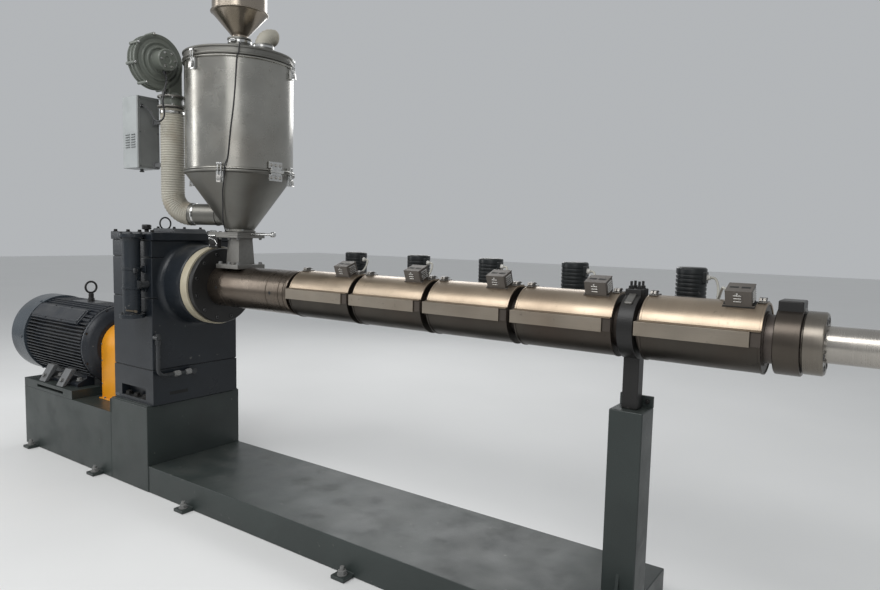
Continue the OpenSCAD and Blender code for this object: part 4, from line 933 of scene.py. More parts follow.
strips = bmesh.new()
strip_end_plates_and_gap_shade = bmesh.new()
strip_laps = bmesh.new()
STRIP_Z0 = 1.083
STRIP_Z1 = 1.133
for x in ZONE_STARTS:
    block(strips, (x - 0.012, -0.1193, STRIP_Z0), (x + 0.336, -0.112, STRIP_Z1 - 0.0036), 0.0012)
    block(strips, (x - 0.012, -0.1195, STRIP_Z0), (x - 0.0085, -0.098, STRIP_Z1 - 0.0036), 0.0008)
    # A dark backing behind each strip shows in the gap under the lap: painted shade. The end plates are dark
    # brown.
    block(strip_end_plates_and_gap_shade, (x - 0.008, -0.113, STRIP_Z0 + 0.001), (x + 0.335, -0.095, STRIP_Z1 - 0.001), 0)
    block(strip_end_plates_and_gap_shade, (x + 0.337, -0.1143, STRIP_Z0 + 0.002), (x + 0.366, -0.095, STRIP_Z1 - 0.004), 0.0015)
    extruded(strip_laps, [(-0.108, STRIP_Z1 - 0.0008), (-0.1190, STRIP_Z1 - 0.0022),
                          (-0.1195, STRIP_Z1 - 0.0008), (-0.108, STRIP_Z1 + 0.0022)],
             COVER_LENGTH - 0.002, end_view(x + 0.001), 0.0003)
made("joint_strip_bars", strips, strip_steel, "cover_steel", "joint_strips")
made("joint_strip_end_plates_and_gap_shade", strip_end_plates_and_gap_shade, end_plate_and_gap_shade_brown, "dark_steel")
made("joint_laps", strip_laps, cover_upper, "cover_steel")


# Cover latches: spring latches near the crown at both ends of each cover. A base plate carries a
# butterfly lever of two wings, and a wire loop hooks over the edge of the joint behind.
latch_steel = steel("worn latch plate", (0.20, 0.19, 0.175), 0.34, (60, 60, 60), stained=0.4)
latches = bmesh.new()
for start in ZONE_STARTS:
    for along in (0.017, 0.349):
        x = start + along
        crown = SCREW_Z + COVER_R
        block(latches, (x - 0.013, -0.027, crown - 0.003), (x + 0.013, 0.027, crown + 0.002), 0.001)
        block(latches, (x - 0.009, -0.024, crown + 0.001), (x - 0.0065, 0.006, crown + 0.011), 0.001)
        block(latches, (x + 0.0065, -0.024, crown + 0.001), (x + 0.009, 0.006, crown + 0.011), 0.001)
        rod(latches, (x - 0.0105, -0.004, crown + 0.0075), (x + 0.0105, -0.004, crown + 0.0075), 0.0022,
            sides=10, soft=0)
        for wing in (-0.0100, 0.0016):
            extruded(latches, [(-0.026, crown + 0.004), (-0.022, crown + 0.013), (-0.004, crown + 0.0145),
                               (0.010, crown + 0.0115), (0.010, crown + 0.0100),
                               (-0.004, crown + 0.0125), (-0.020, crown + 0.0112),
                               (-0.0245, crown + 0.0034)], 0.0084, end_view(x + wing), 0.0004)
        swept(latches, [(x - 0.005, 0.002, crown + 0.009), (x - 0.0055, 0.020, crown + 0.0075),
                        (x, 0.0255, crown + 0.0068), (x + 0.0055, 0.020, crown + 0.0075),
                        (x + 0.005, 0.002, crown + 0.009)], 0.0015, 8, 3)
made("latch_levers_and_loops", latches, latch_steel, "fitting_chrome", "cover_latches")


# Terminal boxes: sheet steel boxes that lean towards the operator on each cover, held by two foot
# ears, with louvres pressed into the side, vents in the top drawn as painted shade, and slots in the front
# lid.
box_enamel = painted("terminal box enamel", (0.078, 0.067, 0.057), rough=0.36, dust=0.3, cast=0.2)
bright_trim = steel("bare bright metal", (0.50, 0.485, 0.46), 0.24, (60, 60, 60), stained=0.15)
LEAN = math.radians(20)
BOX_X = 0.250
BOX_WIDE = 0.076
BOX_Y0 = -0.019
BOX_Y1 = 0.046
BOX_TOP = 0.1603
SLOT_Z = 0.124
SLOT_STEP = 0.0095
LOUVRE_Z = 0.1175
LOUVRE_STEP = 0.0075
BOX_EAR = 0.0078
boxes = bmesh.new()
slots = bmesh.new()
vent_shadows = bmesh.new()
box_screws = bmesh.new()
for number, start in enumerate(ZONE_STARTS):
    seat = Matrix.Translation((start + BOX_X, 0, SCREW_Z)) @ Matrix.Rotation(LEAN, 4, "X")
    foot = 0.080 if number == 4 else 0.104
    block(boxes, (0, BOX_Y0 + 0.002, foot), (BOX_WIDE, BOX_Y1, BOX_TOP - 0.003), 0.002, seat)
    block(boxes, (-0.0005, BOX_Y0, foot + 0.010), (BOX_WIDE + 0.0005, BOX_Y0 + 0.004, BOX_TOP - 0.001),
          0.0012, seat)
    block(boxes, (-0.001, BOX_Y0 - 0.0002, BOX_TOP - 0.0045), (BOX_WIDE + 0.001, BOX_Y1 + 0.001, BOX_TOP),
          0.0012, seat)
    for slot in range(3):
        z = SLOT_Z + slot * SLOT_STEP
        block(slots, (0.024, BOX_Y0 - 0.0022, z), (0.047, BOX_Y0 + 0.001, z + 0.0036), 0.0008, seat)
    for louvre in range(5):
        z = LOUVRE_Z + louvre * LOUVRE_STEP
        extruded(slots, [(BOX_WIDE - 0.001, z), (BOX_WIDE + 0.0032, z + 0.0006),
                         (BOX_WIDE + 0.0032, z + 0.0014), (BOX_WIDE - 0.001, z + 0.0042)],
                 0.038, seat @ side_view(0.034), 0.0003)
    # The vents are near-black patches: painted shade in their openings.
    for x in (0.008, 0.042):
        block(vent_shadows, (x, 0.006, BOX_TOP - 0.001), (x + 0.026, 0.017, BOX_TOP + 0.0004), 0, seat)
    head = seat @ Vector((0.035, BOX_Y0, BOX_TOP - 0.009))
    rod(slots, head, seat @ Vector((0.035, BOX_Y0 - 0.0022, BOX_TOP - 0.009)), 0.0035, 0.0028, 12, 0)
    for x in (-BOX_EAR, BOX_WIDE):
        block(boxes, (x, BOX_Y0, 0.1085), (x + BOX_EAR, BOX_Y0 + 0.016, 0.1125), 0.0008, seat)
        head = seat @ Vector((x + BOX_EAR / 2, BOX_Y0 + 0.008, 0.1155))
        rod(box_screws, seat @ Vector((x + BOX_EAR / 2, BOX_Y0 + 0.008, 0.112)), head, 0.0033, sides=6,
            soft=0)
# A near-black strip of shell on cover 5 under its box: painted shade for the notch.
notch_shadow = bmesh.new()
box_turn = math.radians(90) - LEAN
half_shell(notch_shadow, 0.104, COVER_R + 0.0002, ZONE_STARTS[4] + BOX_X - 0.0085, BOX_WIDE + 0.017,
           box_turn - math.asin(0.023 / COVER_R), box_turn + math.asin(0.050 / COVER_R), 0, 12)
made("terminal_box_shells", boxes, box_enamel, "box_grey", "terminal_boxes")
made("terminal_box_slots", slots, bright_trim, "fitting_chrome")
made("terminal_box_vent_shadows", vent_shadows, painted_shade_black, "dark_steel")
made("terminal_box_screws", box_screws, black_steel, "dark_steel")
made("cover_5_notch_shadow", notch_shadow, painted_shade_black, "dark_steel")


# Cooling blowers: one behind each zone, a pressed spiral casing with rolled rims and a flanged
# duct to the cover, a ribbed motor standing on it, and a grey lead from its gland to the box.
fan_black = painted("blower black enamel", (0.010, 0.012, 0.013), rough=0.33, dust=0.25, chips=0.15)
casing_grey = painted("blower casing enamel", (0.030, 0.034, 0.036), rough=0.34, dust=0.35)
gland_grey = painted("cable gland plastic", (0.50, 0.49, 0.46), rough=0.40, dust=0.2, chips=0)
sheath_grey = painted("grey cable sheath", (0.36, 0.35, 0.31), rough=0.42, dust=0.2, chips=0)
FAN_X = 0.054
FAN_Y = 0.290
CASING_Z = 1.062
MOTOR_Z = 1.132
DUCT_Y = 0.150
DUCT_Z = 1.097
GLAND = Vector((0, 0.280, 1.262))
BAND_R = 0.054
BAND_ROOT = 0.0518
BAND_STEP = 0.015
casings = bmesh.new()
fan_motors = bmesh.new()
glands = bmesh.new()
leads = bmesh.new()
casing_screws = bmesh.new()
banded = [(0, 0), (BAND_ROOT, 0)]
for band in range(9):
    z = 0.006 + band * BAND_STEP
    banded += [(BAND_ROOT, z - 0.0006), (BAND_R - 0.0004, z + 0.0006), (BAND_R, z + 0.002)]
    banded += [(BAND_R, z + 0.009), (BAND_R - 0.0004, z + 0.0104), (BAND_ROOT, z + 0.0116)]
banded += [(BAND_ROOT, 0.1405), (BAND_R, 0.142), (BAND_R, 0.1585), (BAND_R - 0.002, 0.161), (0.0485, 0.1645)]
banded += [(0.030, 0.165), (0, 0.165)]
for start in ZONE_STARTS:
    x = start + FAN_X
    foot = Matrix.Translation((x, FAN_Y, CASING_Z))
    turned(casings, [(0.038, 0), (0.060, 0), (0.100, 0), (0.105, 0.002), (0.105, 0.005), (0.1025, 0.007),
                     (0.1025, 0.063), (0.105, 0.065), (0.105, 0.068), (0.102, 0.070), (0.058, 0.070),
                     (0, 0.070), (0, 0.004), (0.034, 0.004), (0.038, 0)], foot, 56)
    block(casings, (x + 0.010, 0.100, DUCT_Z - 0.0295), (x + 0.086, FAN_Y, DUCT_Z + 0.0295), 0.003)
    block(casings, (x + 0.001, DUCT_Y, DUCT_Z - 0.039), (x + 0.095, DUCT_Y + 0.0038, DUCT_Z + 0.039), 0.0015)
    block(casings, (x + 0.001, DUCT_Y + 0.0042, DUCT_Z - 0.039), (x + 0.095, DUCT_Y + 0.008, DUCT_Z + 0.039),
          0.0015)
    for dx in (0.006, 0.090):
        for z in (DUCT_Z - 0.033, DUCT_Z + 0.033):
            hex_bolt(casing_screws, (x + dx, DUCT_Y, z), (0, -1, 0), 0.007)
    for dx, dy in around(6, 0.070):
        hex_bolt(casing_screws, (x + dx, FAN_Y + dy, MOTOR_Z), (0, 0, 1), 0.010)
    turned(fan_motors, banded, Matrix.Translation((x, FAN_Y, MOTOR_Z)), 40)
    for dx, dy in around(4, 0.0515):
        tie = Vector((x + dx, FAN_Y + dy, MOTOR_Z))
        rod(fan_motors, tie, tie + Vector((0, 0, 0.142)), 0.0022, sides=8, soft=0)
    block(fan_motors, (x + 0.030, 0.262, MOTOR_Z + 0.108), (x + 0.058, 0.298, MOTOR_Z + 0.150), 0.003)
    place = Vector((x, 0, 0)) + GLAND
    rod(glands, place + Vector((0.050, 0, 0)), place + Vector((0.062, 0, 0)), 0.012, sides=6)
    rod(glands, place + Vector((0.061, 0, 0)), place + Vector((0.070, 0, 0)), 0.0098, 0.0078, 24)
made("blower_casings", casings, casing_grey, "fan_black", "zone_blowers")
made("blower_casing_screws", casing_screws, zinc_bolts, "fitting_chrome")
made("blower_motor_bodies", fan_motors, fan_black, "fan_black", "blower_motors")
made("blower_glands", glands, gland_grey, "lead_grey")
LEAD_ROUTE = ((0.1215, 0.280, 0.162), (0.137, 0.279, 0.161), (0.150, 0.266, 0.148), (0.162, 0.236, 0.122),
              (0.170, 0.196, 0.100), (0.182, 0.150, 0.096), (0.196, 0.106, 0.112), (0.210, 0.066, 0.134),
              (0.222, 0.030, 0.146), (0.231, 0.006, 0.146), (0.240, -0.006, 0.143), (0.2495, -0.008, 0.141))
for start in ZONE_STARTS:
    swept(leads, [(start + x, y, SCREW_Z + z) for x, y, z in LEAD_ROUTE], 0.0045, 12, 3)
    rod(leads, (start + 0.243, -0.007, SCREW_Z + 0.1422), (start + 0.2502, -0.008, SCREW_Z + 0.1408), 0.007,
        sides=16)
made("fan_cables", leads, sheath_grey, "lead_grey", "fan_leads")


# Support: a cast clamp ring round the barrel between the last two zones, bolted on an upright post
# of steel plate with foot plate, gussets and a back plate. A small pale pad on the ring is a painted
# highlight.
SUPPORT_X0 = 2.051
SUPPORT_X1 = 2.106
SUPPORT_X = (SUPPORT_X0 + SUPPORT_X1) / 2
POST_HALF = 0.059
POST_TOP = 0.815
POST_FOOT_Z = 0.141
POST_FOOT_TOP = 0.155
STEM_TOP = 1.010
EAR_Z = 1.194
EAR_TOP = 1.2275
support = bmesh.new()
turned(support, [(0.0755, 0), (0.109, 0), (0.1115, 0.0025), (0.1115, 0.0525), (0.109, 0.055),
                 (0.0755, 0.055), (0.0755, 0)], along_x(SUPPORT_X0, 0, SCREW_Z), 72)
block(support, (SUPPORT_X0, -0.025, POST_TOP + 0.0005), (SUPPORT_X1, 0.025, STEM_TOP), 0.003)
block(support, (SUPPORT_X0, -0.038, EAR_Z), (SUPPORT_X1, -0.0015, EAR_TOP), 0.003)
block(support, (SUPPORT_X0, 0.0015, EAR_Z), (SUPPORT_X1, 0.038, EAR_TOP), 0.003)
# A pale block on the ring's near upper face: painted highlight.
ring_highlight_pad = bmesh.new()
block(ring_highlight_pad, (0.014, -0.030, 0.106), (0.040, 0.030, 0.1165), 0.003,
      Matrix.Translation((SUPPORT_X0, 0, SCREW_Z)) @ Matrix.Rotation(math.radians(30), 4, "X"))
made("support_ring_highlight_pad", ring_highlight_pad, neck_steel, "dark_steel")
made("support_clamp_ring", support, black_steel, "dark_steel", "support_clamp")
studs = bmesh.new()
for y in (-0.019, 0.019):
    for x in (SUPPORT_X0 + 0.014, SUPPORT_X1 - 0.014):
        hex_bolt(studs, (x, y, EAR_TOP), (0, 0, 1), 0.015)
        rod(studs, (x, y, EAR_TOP), (x, y, EAR_TOP + 0.0255), 0.0045, sides=12)
post = bmesh.new()
block(post, (SUPPORT_X - POST_HALF, -POST_HALF, POST_FOOT_Z), (SUPPORT_X + POST_HALF, POST_HALF, POST_TOP),
      0.005)
block(post, (SUPPORT_X - 0.075, -0.075, POST_FOOT_Z), (SUPPORT_X + POST_HALF, 0.075, POST_FOOT_TOP), 0.002)
block(post, (SUPPORT_X - POST_HALF, 0.047, POST_TOP - 0.002),
      (SUPPORT_X + POST_HALF, POST_HALF, POST_TOP + 0.038), 0.002)
for side in (-1, 1):
    gusset = [(POST_HALF, POST_FOOT_TOP), (0.0745, POST_FOOT_TOP), (0.0745, 0.160), (POST_HALF, 0.244)]
    extruded(post, [(side * y, z) for y, z in gusset], 0.012, end_view(SUPPORT_X - 0.006), 0.001)
    for x in (SUPPORT_X - 0.067, SUPPORT_X + 0.045):
        hex_bolt(studs, (x, side * 0.067, POST_FOOT_TOP), (0, 0, 1), 0.014)
    hex_bolt(studs, (SUPPORT_X + side * 0.040, 0.047, 0.834), (0, -1, 0), 0.012)
made("support_post_box", post, base_enamel, "base_paint", "support_post")
made("support_bolts", studs, black_steel, "dark_steel")


# Die end: the barrel's head flange with its yoke, a clamp flange bolted to it, and a turned melt
# pipe that ends in a plain drilled flange.
head_steel = steel("oil browned head steel", (0.085, 0.074, 0.062), 0.30, LATHE_X, (0.05, 0.035, 0.028),
                   0.5, 0.3)
HEAD_R = 0.1035
head = bmesh.new()
turned(head, [(0, 0), (HEAD_R - 0.003, 0), (HEAD_R, 0.003), (HEAD_R, 0.069), (HEAD_R - 0.003, 0.072),
              (0, 0.072)], along_x(HEAD_X0, 0, SCREW_Z), 80)
made("head_flange_disc", head, head_steel, "feed_steel", "head_flange")
YOKE_Z = 1.180
YOKE_TOP = 1.2232
yoke = bmesh.new()
block(yoke, (HEAD_X0 + 0.002, -0.046, YOKE_Z), (HEAD_X0 + 0.070, 0.046, YOKE_TOP), 0.004)
for y in (-0.032, 0.032):
    for x in (HEAD_X0 + 0.018, HEAD_X0 + 0.054):
        hex_bolt(yoke, (x, y, YOKE_TOP - 0.0077), (0, 0, 1), 0.011)
made("head_yoke", yoke, black_steel, "dark_steel")
CLAMP_X0 = 2.594
PIPE_X0 = 2.649
clamp = bmesh.new()
turned(clamp, [(0, -0.004), (0.0795, -0.004), (0.0795, 0), (0.092, 0), (0.0945, 0.0025), (0.0945, 0.050),
               (0.090, 0.055), (0, 0.055)], along_x(CLAMP_X0, 0, SCREW_Z), 80)
clamp_steel = steel("worn clamp steel", (0.20, 0.182, 0.155), 0.27, LATHE_X, (0.07, 0.05, 0.04), 0.55, 0.3)
made("clamp_flange_disc", clamp, clamp_steel, "bright_steel", "clamp_flange")
clamp_screws = bmesh.new()
# The dark discs round these screw heads are painted shade in their hollows.
clamp_sink_shadows = bmesh.new()
sunk_screws(clamp_sink_shadows, clamp_screws, 8, 0.074, PIPE_X0, 0.0115, 0.017)
made("clamp_screw_sink_shadows", clamp_sink_shadows, painted_shade_black, "dark_steel")
made("clamp_flange_screws", clamp_screws, socket_black, "dark_steel")
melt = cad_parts["melt_pipe"]
melt.material_slots[0].material = bright_steel


# Dryer cone: a matt stainless funnel on a foot ring, with a turned-out ring for the drum, and the
# hot air inlet stub that the hose is clipped to.
cone_steel = steel("matt stainless cone", (0.180, 0.177, 0.162), 0.40, (5, 5, 900), (0.12, 0.10, 0.08), 0.3,
                   0.15)
DRUM_R = 0.263
RING_R = 0.272
WALL_R = 0.239
CONE_Z0 = 1.382
CONE_Z1 = 1.668
SEAM_Z = 1.680
RIM_Z = 2.208
cone = bmesh.new()
turned(cone, [(0.050, CONE_Z0 + 0.003), (0.050, CONE_Z0), (0.074, CONE_Z0), (0.076, CONE_Z0 + 0.002),
              (0.076, CONE_Z0 + 0.008), (0.074, CONE_Z0 + 0.010), (0.070, CONE_Z0 + 0.0105),
              (0.0690, CONE_Z0 + 0.014), (DRUM_R - 0.004, CONE_Z1 - 0.005), (DRUM_R, CONE_Z1 - 0.001),
              (RING_R - 0.003, CONE_Z1), (RING_R - 0.0003, CONE_Z1 + 0.003),
              (RING_R - 0.0003, CONE_Z1 + 0.009), (RING_R - 0.003, CONE_Z1 + 0.012),
              (WALL_R, CONE_Z1 + 0.012), (WALL_R, CONE_Z1 + 0.004),
              (0.058, CONE_Z0 + 0.020), (0.050, CONE_Z0 + 0.003)], sides=128)
INLET_Z = 1.470
INLET_WAY = Vector((-0.340, -0.158, 0)).normalized()
INLET_END = 0.2699
inlet = Matrix.Translation((0, 0, INLET_Z)) @ INLET_WAY.to_track_quat("Z", "X").to_matrix().to_4x4()
turned(cone, [(0.051, 0.080), (0.054, 0.080), (0.054, INLET_END - 0.020), (0.058, INLET_END - 0.015),
              (0.058, INLET_END - 0.003), (0.056, INLET_END - 0.0005), (0.051, INLET_END - 0.0005),
              (0.051, 0.080)], inlet, 56)
turned(cone, [(0.053, 0.118), (0.0575, 0.119), (0.0575, 0.125), (0.053, 0.126)], inlet, 56)
made("dryer_funnel", cone, cone_steel, "cone_steel", "dryer_cone")
foot_bolts = bmesh.new()
for x, y in around(6, 0.0715):
    hex_bolt(foot_bolts, (x, y, CONE_Z0 + 0.010), (0, 0, 1), 0.008)
band = inlet @ Matrix.Translation((0, 0, INLET_END - 0.030))
turned(foot_bolts, [(0.0540, 0), (0.0556, 0.001), (0.0556, 0.011), (0.0540, 0.012)], band, 56)
rod(foot_bolts, band @ Vector((0.012, -0.0570, 0.006)), band @ Vector((-0.014, -0.0570, 0.006)), 0.0042,
    sides=12)
made("funnel_bolts_and_band", foot_bolts, chrome, "fitting_chrome")


# Dryer drum: an open drum with a thick wall, rolled from satin stainless sheet, with an upright
# seam, and beaded rings at its foot and at its rim.
drum_steel = steel("satin stainless drum", (0.315, 0.308, 0.282), 0.24, (4, 4, 900), (0.17, 0.14, 0.11),
                   0.35, 0.12)
drum = bmesh.new()


def bead(radius, low, high):
    """The profile of one rolled bead between two heights."""
    half = (high - low) / 2
    curve = bend(math.pi, 8)[1:-1]
    return [(radius - 0.009 + 0.0088 * math.sin(a), low + half - half * math.cos(a)) for a in curve]


turned(drum, [(WALL_R, SEAM_Z + 0.0005), (DRUM_R, SEAM_Z + 0.0005)]
       + bead(RING_R, SEAM_Z + 0.0005, SEAM_Z + 0.012)
       + [(DRUM_R, SEAM_Z + 0.0125), (DRUM_R, RIM_Z - 0.0125)]
       + bead(RING_R, RIM_Z - 0.012, RIM_Z - 0.0005)
       + [(DRUM_R, RIM_Z - 0.0005), (WALL_R, RIM_Z - 0.0005), (WALL_R, SEAM_Z + 0.0005)], sides=144)
seam_turn = Matrix.Rotation(math.radians(-112), 4, "Z")
block(drum, (DRUM_R - 0.003, -0.007, SEAM_Z + 0.013), (DRUM_R + 0.0008, 0.007, RIM_Z - 0.013), 0.0005,
      seam_turn)
made("dryer_drum_shell", drum, drum_steel, "drum_steel", "dryer_drum")


# Dryer lid: a spun stainless lid with a beaded skirt, a low dome, a neck for the receiver and a
# socket for the return elbow.
lid_top = bmesh.new()
LID_UP_Z = 2.252
DOME_Z = 2.292
SPOUT_Z = 2.343
turned(lid_top, [(0, RIM_Z + 0.0005), (DRUM_R, RIM_Z + 0.0005)]
       + bead(RING_R, RIM_Z + 0.0005, RIM_Z + 0.014)
       + [(DRUM_R + 0.003, RIM_Z + 0.015), (DRUM_R + 0.003, RIM_Z + 0.030)]
       + bead(RING_R, RIM_Z + 0.031, LID_UP_Z)
       + [(DRUM_R - 0.003, LID_UP_Z + 0.001), (DRUM_R - 0.010, LID_UP_Z + 0.0005),
          (0.240, LID_UP_Z + 0.004), (0.110, LID_UP_Z + 0.0295), (0.072, DOME_Z - 0.002), (0.062, DOME_Z),
          (0.055, DOME_Z + 0.004), (0.055, SPOUT_Z - 0.009), (0.060, SPOUT_Z - 0.007), (0.060, SPOUT_Z),
          (0, SPOUT_Z)], sides=144)
turned(lid_top, [(0, LID_UP_Z), (0.050, LID_UP_Z + 0.001), (0.050, DOME_Z - 0.004),
                 (0.048, DOME_Z - 0.0005), (0, DOME_Z - 0.0005)], Matrix.Translation((0.175, 0, 0)), 48)
made("dryer_lid_shell", lid_top, cone_steel, "cone_steel", "dryer_lid")
neck_clamp = bmesh.new()
STRAP_Z = 2.325
turned(neck_clamp, [(0.0545, STRAP_Z - 0.007), (0.0585, STRAP_Z - 0.006), (0.0585, STRAP_Z + 0.006),
                    (0.0545, STRAP_Z + 0.007)], sides=56)
for turn in (-70, 110):
    place = Matrix.Rotation(math.radians(turn), 4, "Z")
    block(neck_clamp, (0.0575, -0.013, STRAP_Z - 0.0075), (0.0665, 0.013, STRAP_Z + 0.0075), 0.002, place)
    rod(neck_clamp, place @ Vector((0.063, -0.020, STRAP_Z)), place @ Vector((0.063, 0.020, STRAP_Z)),
        0.0035, sides=12)
turned(neck_clamp, [(0.0495, LID_UP_Z + 0.020), (0.0515, LID_UP_Z + 0.021), (0.0515, LID_UP_Z + 0.030),
                    (0.0495, LID_UP_Z + 0.031)], Matrix.Translation((0.175, 0, 0)), 48)
made("lid_neck_clamps", neck_clamp, chrome, "fitting_chrome")


# Drum clamps: over-centre toggle clamps across the seam and the rim, each a pressed base, side
# cheeks, a bent lever and two hook bars, and one bolted hinge at the seam.
clamps = bmesh.new()
clamp_levers = bmesh.new()


def toggle_clamp(turn, joint):
    """One toggle clamp at a turn round the drum, over the joint at that height."""
    place = Matrix.Rotation(math.radians(turn), 4, "Z") @ Matrix.Translation((RING_R, 0, joint))
    block(clamps, (-0.0085, -0.017, -0.064), (0.004, 0.017, -0.013), 0.0012, place)
    for y in (-0.0125, 0.0100):
        block(clamps, (0.002, y, -0.056), (0.016, y + 0.0025, -0.030), 0.0012, place)
    rod(clamps, place @ Vector((0.010, -0.0150, -0.040)), place @ Vector((0.010, 0.0150, -0.040)), 0.003,
        sides=12)
    for y in (-0.008, 0.008):
        rod(clamps, place @ Vector((0.0078, y, -0.040)), place @ Vector((0.0078, y, 0.026)), 0.0027, sides=10)
        rod(clamps, place @ Vector((0.0078, y, -0.012)), place @ Vector((0.0078, y, -0.004)), 0.0045,
            sides=6, soft=0)
    block(clamps, (0.0005, -0.013, 0.018), (0.0125, 0.013, 0.028), 0.002, place)
    side_line = [(0.011, -0.030), (0.0165, -0.0335), (0.0185, -0.046), (0.0190, -0.060), (0.0225, -0.0645),
                 (0.0212, -0.0655), (0.0170, -0.0610), (0.0160, -0.046), (0.0145, -0.036), (0.010, -0.0325)]
    extruded(clamp_levers, side_line, 0.020, place @ side_view(0.010), 0.0006)


for turn in (-58, 22, 118, 200):
    toggle_clamp(turn, SEAM_Z)
for turn in (-89, 28, 150):
    toggle_clamp(turn, RIM_Z)
hinge = Matrix.Rotation(math.radians(-1), 4, "Z") @ Matrix.Translation((RING_R, 0, SEAM_Z))
for low, high in ((-0.046, -0.014), (0.014, 0.046)):
    block(clamps, (-0.008, -0.039, low), (0.004, 0.039, high), 0.002, hinge)
    for y in (-0.027, 0, 0.027):
        hex_bolt(clamp_levers, hinge @ Vector((0.004, y, (low + high) / 2)),
                 hinge.to_3x3() @ Vector((1, 0, 0)), 0.011)
block(clamps, (0.0005, -0.030, -0.0205), (0.008, 0.030, 0.0205), 0.002, hinge)
rod(clamps, hinge @ Vector((0.010, -0.039, 0)), hinge @ Vector((0.010, 0.039, 0)), 0.0075, sides=20)
made("drum_clamp_bodies", clamps, chrome, "fitting_chrome", "drum_clamps")
made("drum_clamp_levers", clamp_levers, bright_trim, "fitting_chrome")


# Sensor lead: a thin rubber-sheathed cable that leaves a gland on the lid, runs over the rim and
# down the drum and cone, and is clipped at the gate below.
black_sheath = painted("black cable sheath", (0.020, 0.020, 0.021), rough=0.36, dust=0.3, chips=0)
LID_ROUTE = ((0.118, -0.092, 0.072), (0.165, -0.130, 0.061), (0.203, -0.159, 0.056), (0.219, -0.175, 0.044),
             (0.215, -0.177, 0.004), (0.207, -0.181, -0.016))
DRUM_ROUTE = ((0.197, -0.184, 0.380), (0.190, -0.190, 0.280), (0.181, -0.199, 0.180),
              (0.172, -0.207, 0.060), (0.168, -0.221, 0.020), (0.167, -0.223, -0.014))
CONE_ROUTE = ((0.150, -0.214, 0.236), (0.112, -0.192, 0.200), (0.066, -0.156, 0.140),
              (0.036, -0.134, 0.090), (0.012, -0.114, 0.050), (0.002, -0.098, 0.022), (-0.004, -0.086, 0.002))
lead_points = [(x, y, RIM_Z + z) for x, y, z in LID_ROUTE]
lead_points += [(x, y, SEAM_Z + z) for x, y, z in DRUM_ROUTE]
lead_points += [(x, y, CONE_Z0 + z) for x, y, z in CONE_ROUTE]
sensor = bmesh.new()
swept(sensor, lead_points, 0.003, 10, 3)
rod(sensor, (0.108, -0.084, 2.281), (0.124, -0.097, 2.2785), 0.008, sides=6)
block(sensor, (-0.012, -0.0895, CONE_Z0 + 0.001), (0.004, -0.080, CONE_Z0 + 0.0055), 0.001)
made("sensor_cable", sensor, black_sheath, "lead_black", "drum_lead")


# Hot air blower: a cast spiral casing with lugs round its edge and concentric pressings, a motor
# drum on its face, and a flanged outlet that the hose hangs from.
blower_enamel = painted("blower grey-green enamel", (0.112, 0.122, 0.105), rough=0.36, dust=0.5, cast=0.4)
HOSE_X = -0.340
HOSE_Y = -0.158
HOSE_TOP = 2.008
AIR_Y = -0.248
AIR_Z = 2.220
AIR_X0 = -0.373
AIR_R = 0.132
blower = bmesh.new()
turned(blower, [(0, 0.001), (0.050, 0.001), (0.054, 0), (0.118, 0), (AIR_R - 0.002, 0), (AIR_R, 0.002),
                (AIR_R, 0.007), (AIR_R - 0.006, 0.010), (AIR_R - 0.006, 0.027), (AIR_R, 0.030),
                (AIR_R, 0.036), (AIR_R - 0.006, 0.039), (AIR_R - 0.006, 0.056), (AIR_R, 0.059),
                (AIR_R, 0.064), (AIR_R - 0.002, 0.066), (0.116, 0.066), (0.113, 0.063), (0.108, 0.063),
                (0.105, 0.066), (0.096, 0.066), (0.094, 0.068), (0.094, 0.072), (0.092, 0.074),
                (0.086, 0.074), (0.083, 0.071), (0.078, 0.071), (0.075, 0.074), (0.072, 0.074),
                (0.070, 0.076), (0.070, 0.078), (0.068, 0.080), (0.062, 0.080), (0.060, 0.077),
                (0.053, 0.077), (0.050, 0.080), (0.050, 0.132), (0.0515, 0.133), (0.0515, 0.138),
                (0.048, 0.142), (0.018, 0.142), (0.015, 0.138), (0, 0.138)],
       along_x(AIR_X0, AIR_Y, AIR_Z), 80)
blower_bolts = bmesh.new()
for lug in range(5):
    turn = math.radians(12 + lug * 45)
    y = AIR_Y - AIR_R * math.sin(turn)
    z = AIR_Z + AIR_R * math.cos(turn)
    rod(blower, (AIR_X0 - 0.003, y, z), (AIR_X0 + 0.069, y, z), 0.008, sides=24, soft=0.0015)
    hex_bolt(blower_bolts, (AIR_X0 + 0.069, y, z), (1, 0, 0), 0.009)
block(blower, (AIR_X0, HOSE_Y - 0.039, HOSE_TOP + 0.057), (AIR_X0 + 0.066, HOSE_Y + 0.039, AIR_Z), 0.005)
outlet = Matrix.Translation((HOSE_X, HOSE_Y, HOSE_TOP))
turned(blower, [(0, 0.006), (0.0558, 0.006), (0.0558, 0.054), (0.050, 0.060), (0.034, 0.078), (0, 0.078)],
       outlet, 56)
joints = bmesh.new()
for up in (0, 0.050):
    turned(joints, [(0.050, up), (0.069, up), (0.071, up + 0.002), (0.071, up + 0.008), (0.069, up + 0.010),
                    (0.050, up + 0.010)], outlet, 56)
made("hot_air_blower_joints", joints, neck_steel, "cone_steel")
made("hot_air_blower_casing", blower, blower_enamel, "blower_paint", "air_blower")
for up, out in around(6, 0.036):
    hex_bolt(blower_bolts, (AIR_X0 + 0.142, AIR_Y + out, AIR_Z + up), (1, 0, 0), 0.008)
for x, y in around(6, 0.063):
    hex_bolt(blower_bolts, (HOSE_X + x, HOSE_Y + y, HOSE_TOP + 0.050), (0, 0, -1), 0.011)
    hex_bolt(blower_bolts, (HOSE_X + x, HOSE_Y + y, HOSE_TOP + 0.010), (0, 0, 1), 0.011)
made("hot_air_blower_bolts", blower_bolts, chrome, "fitting_chrome")


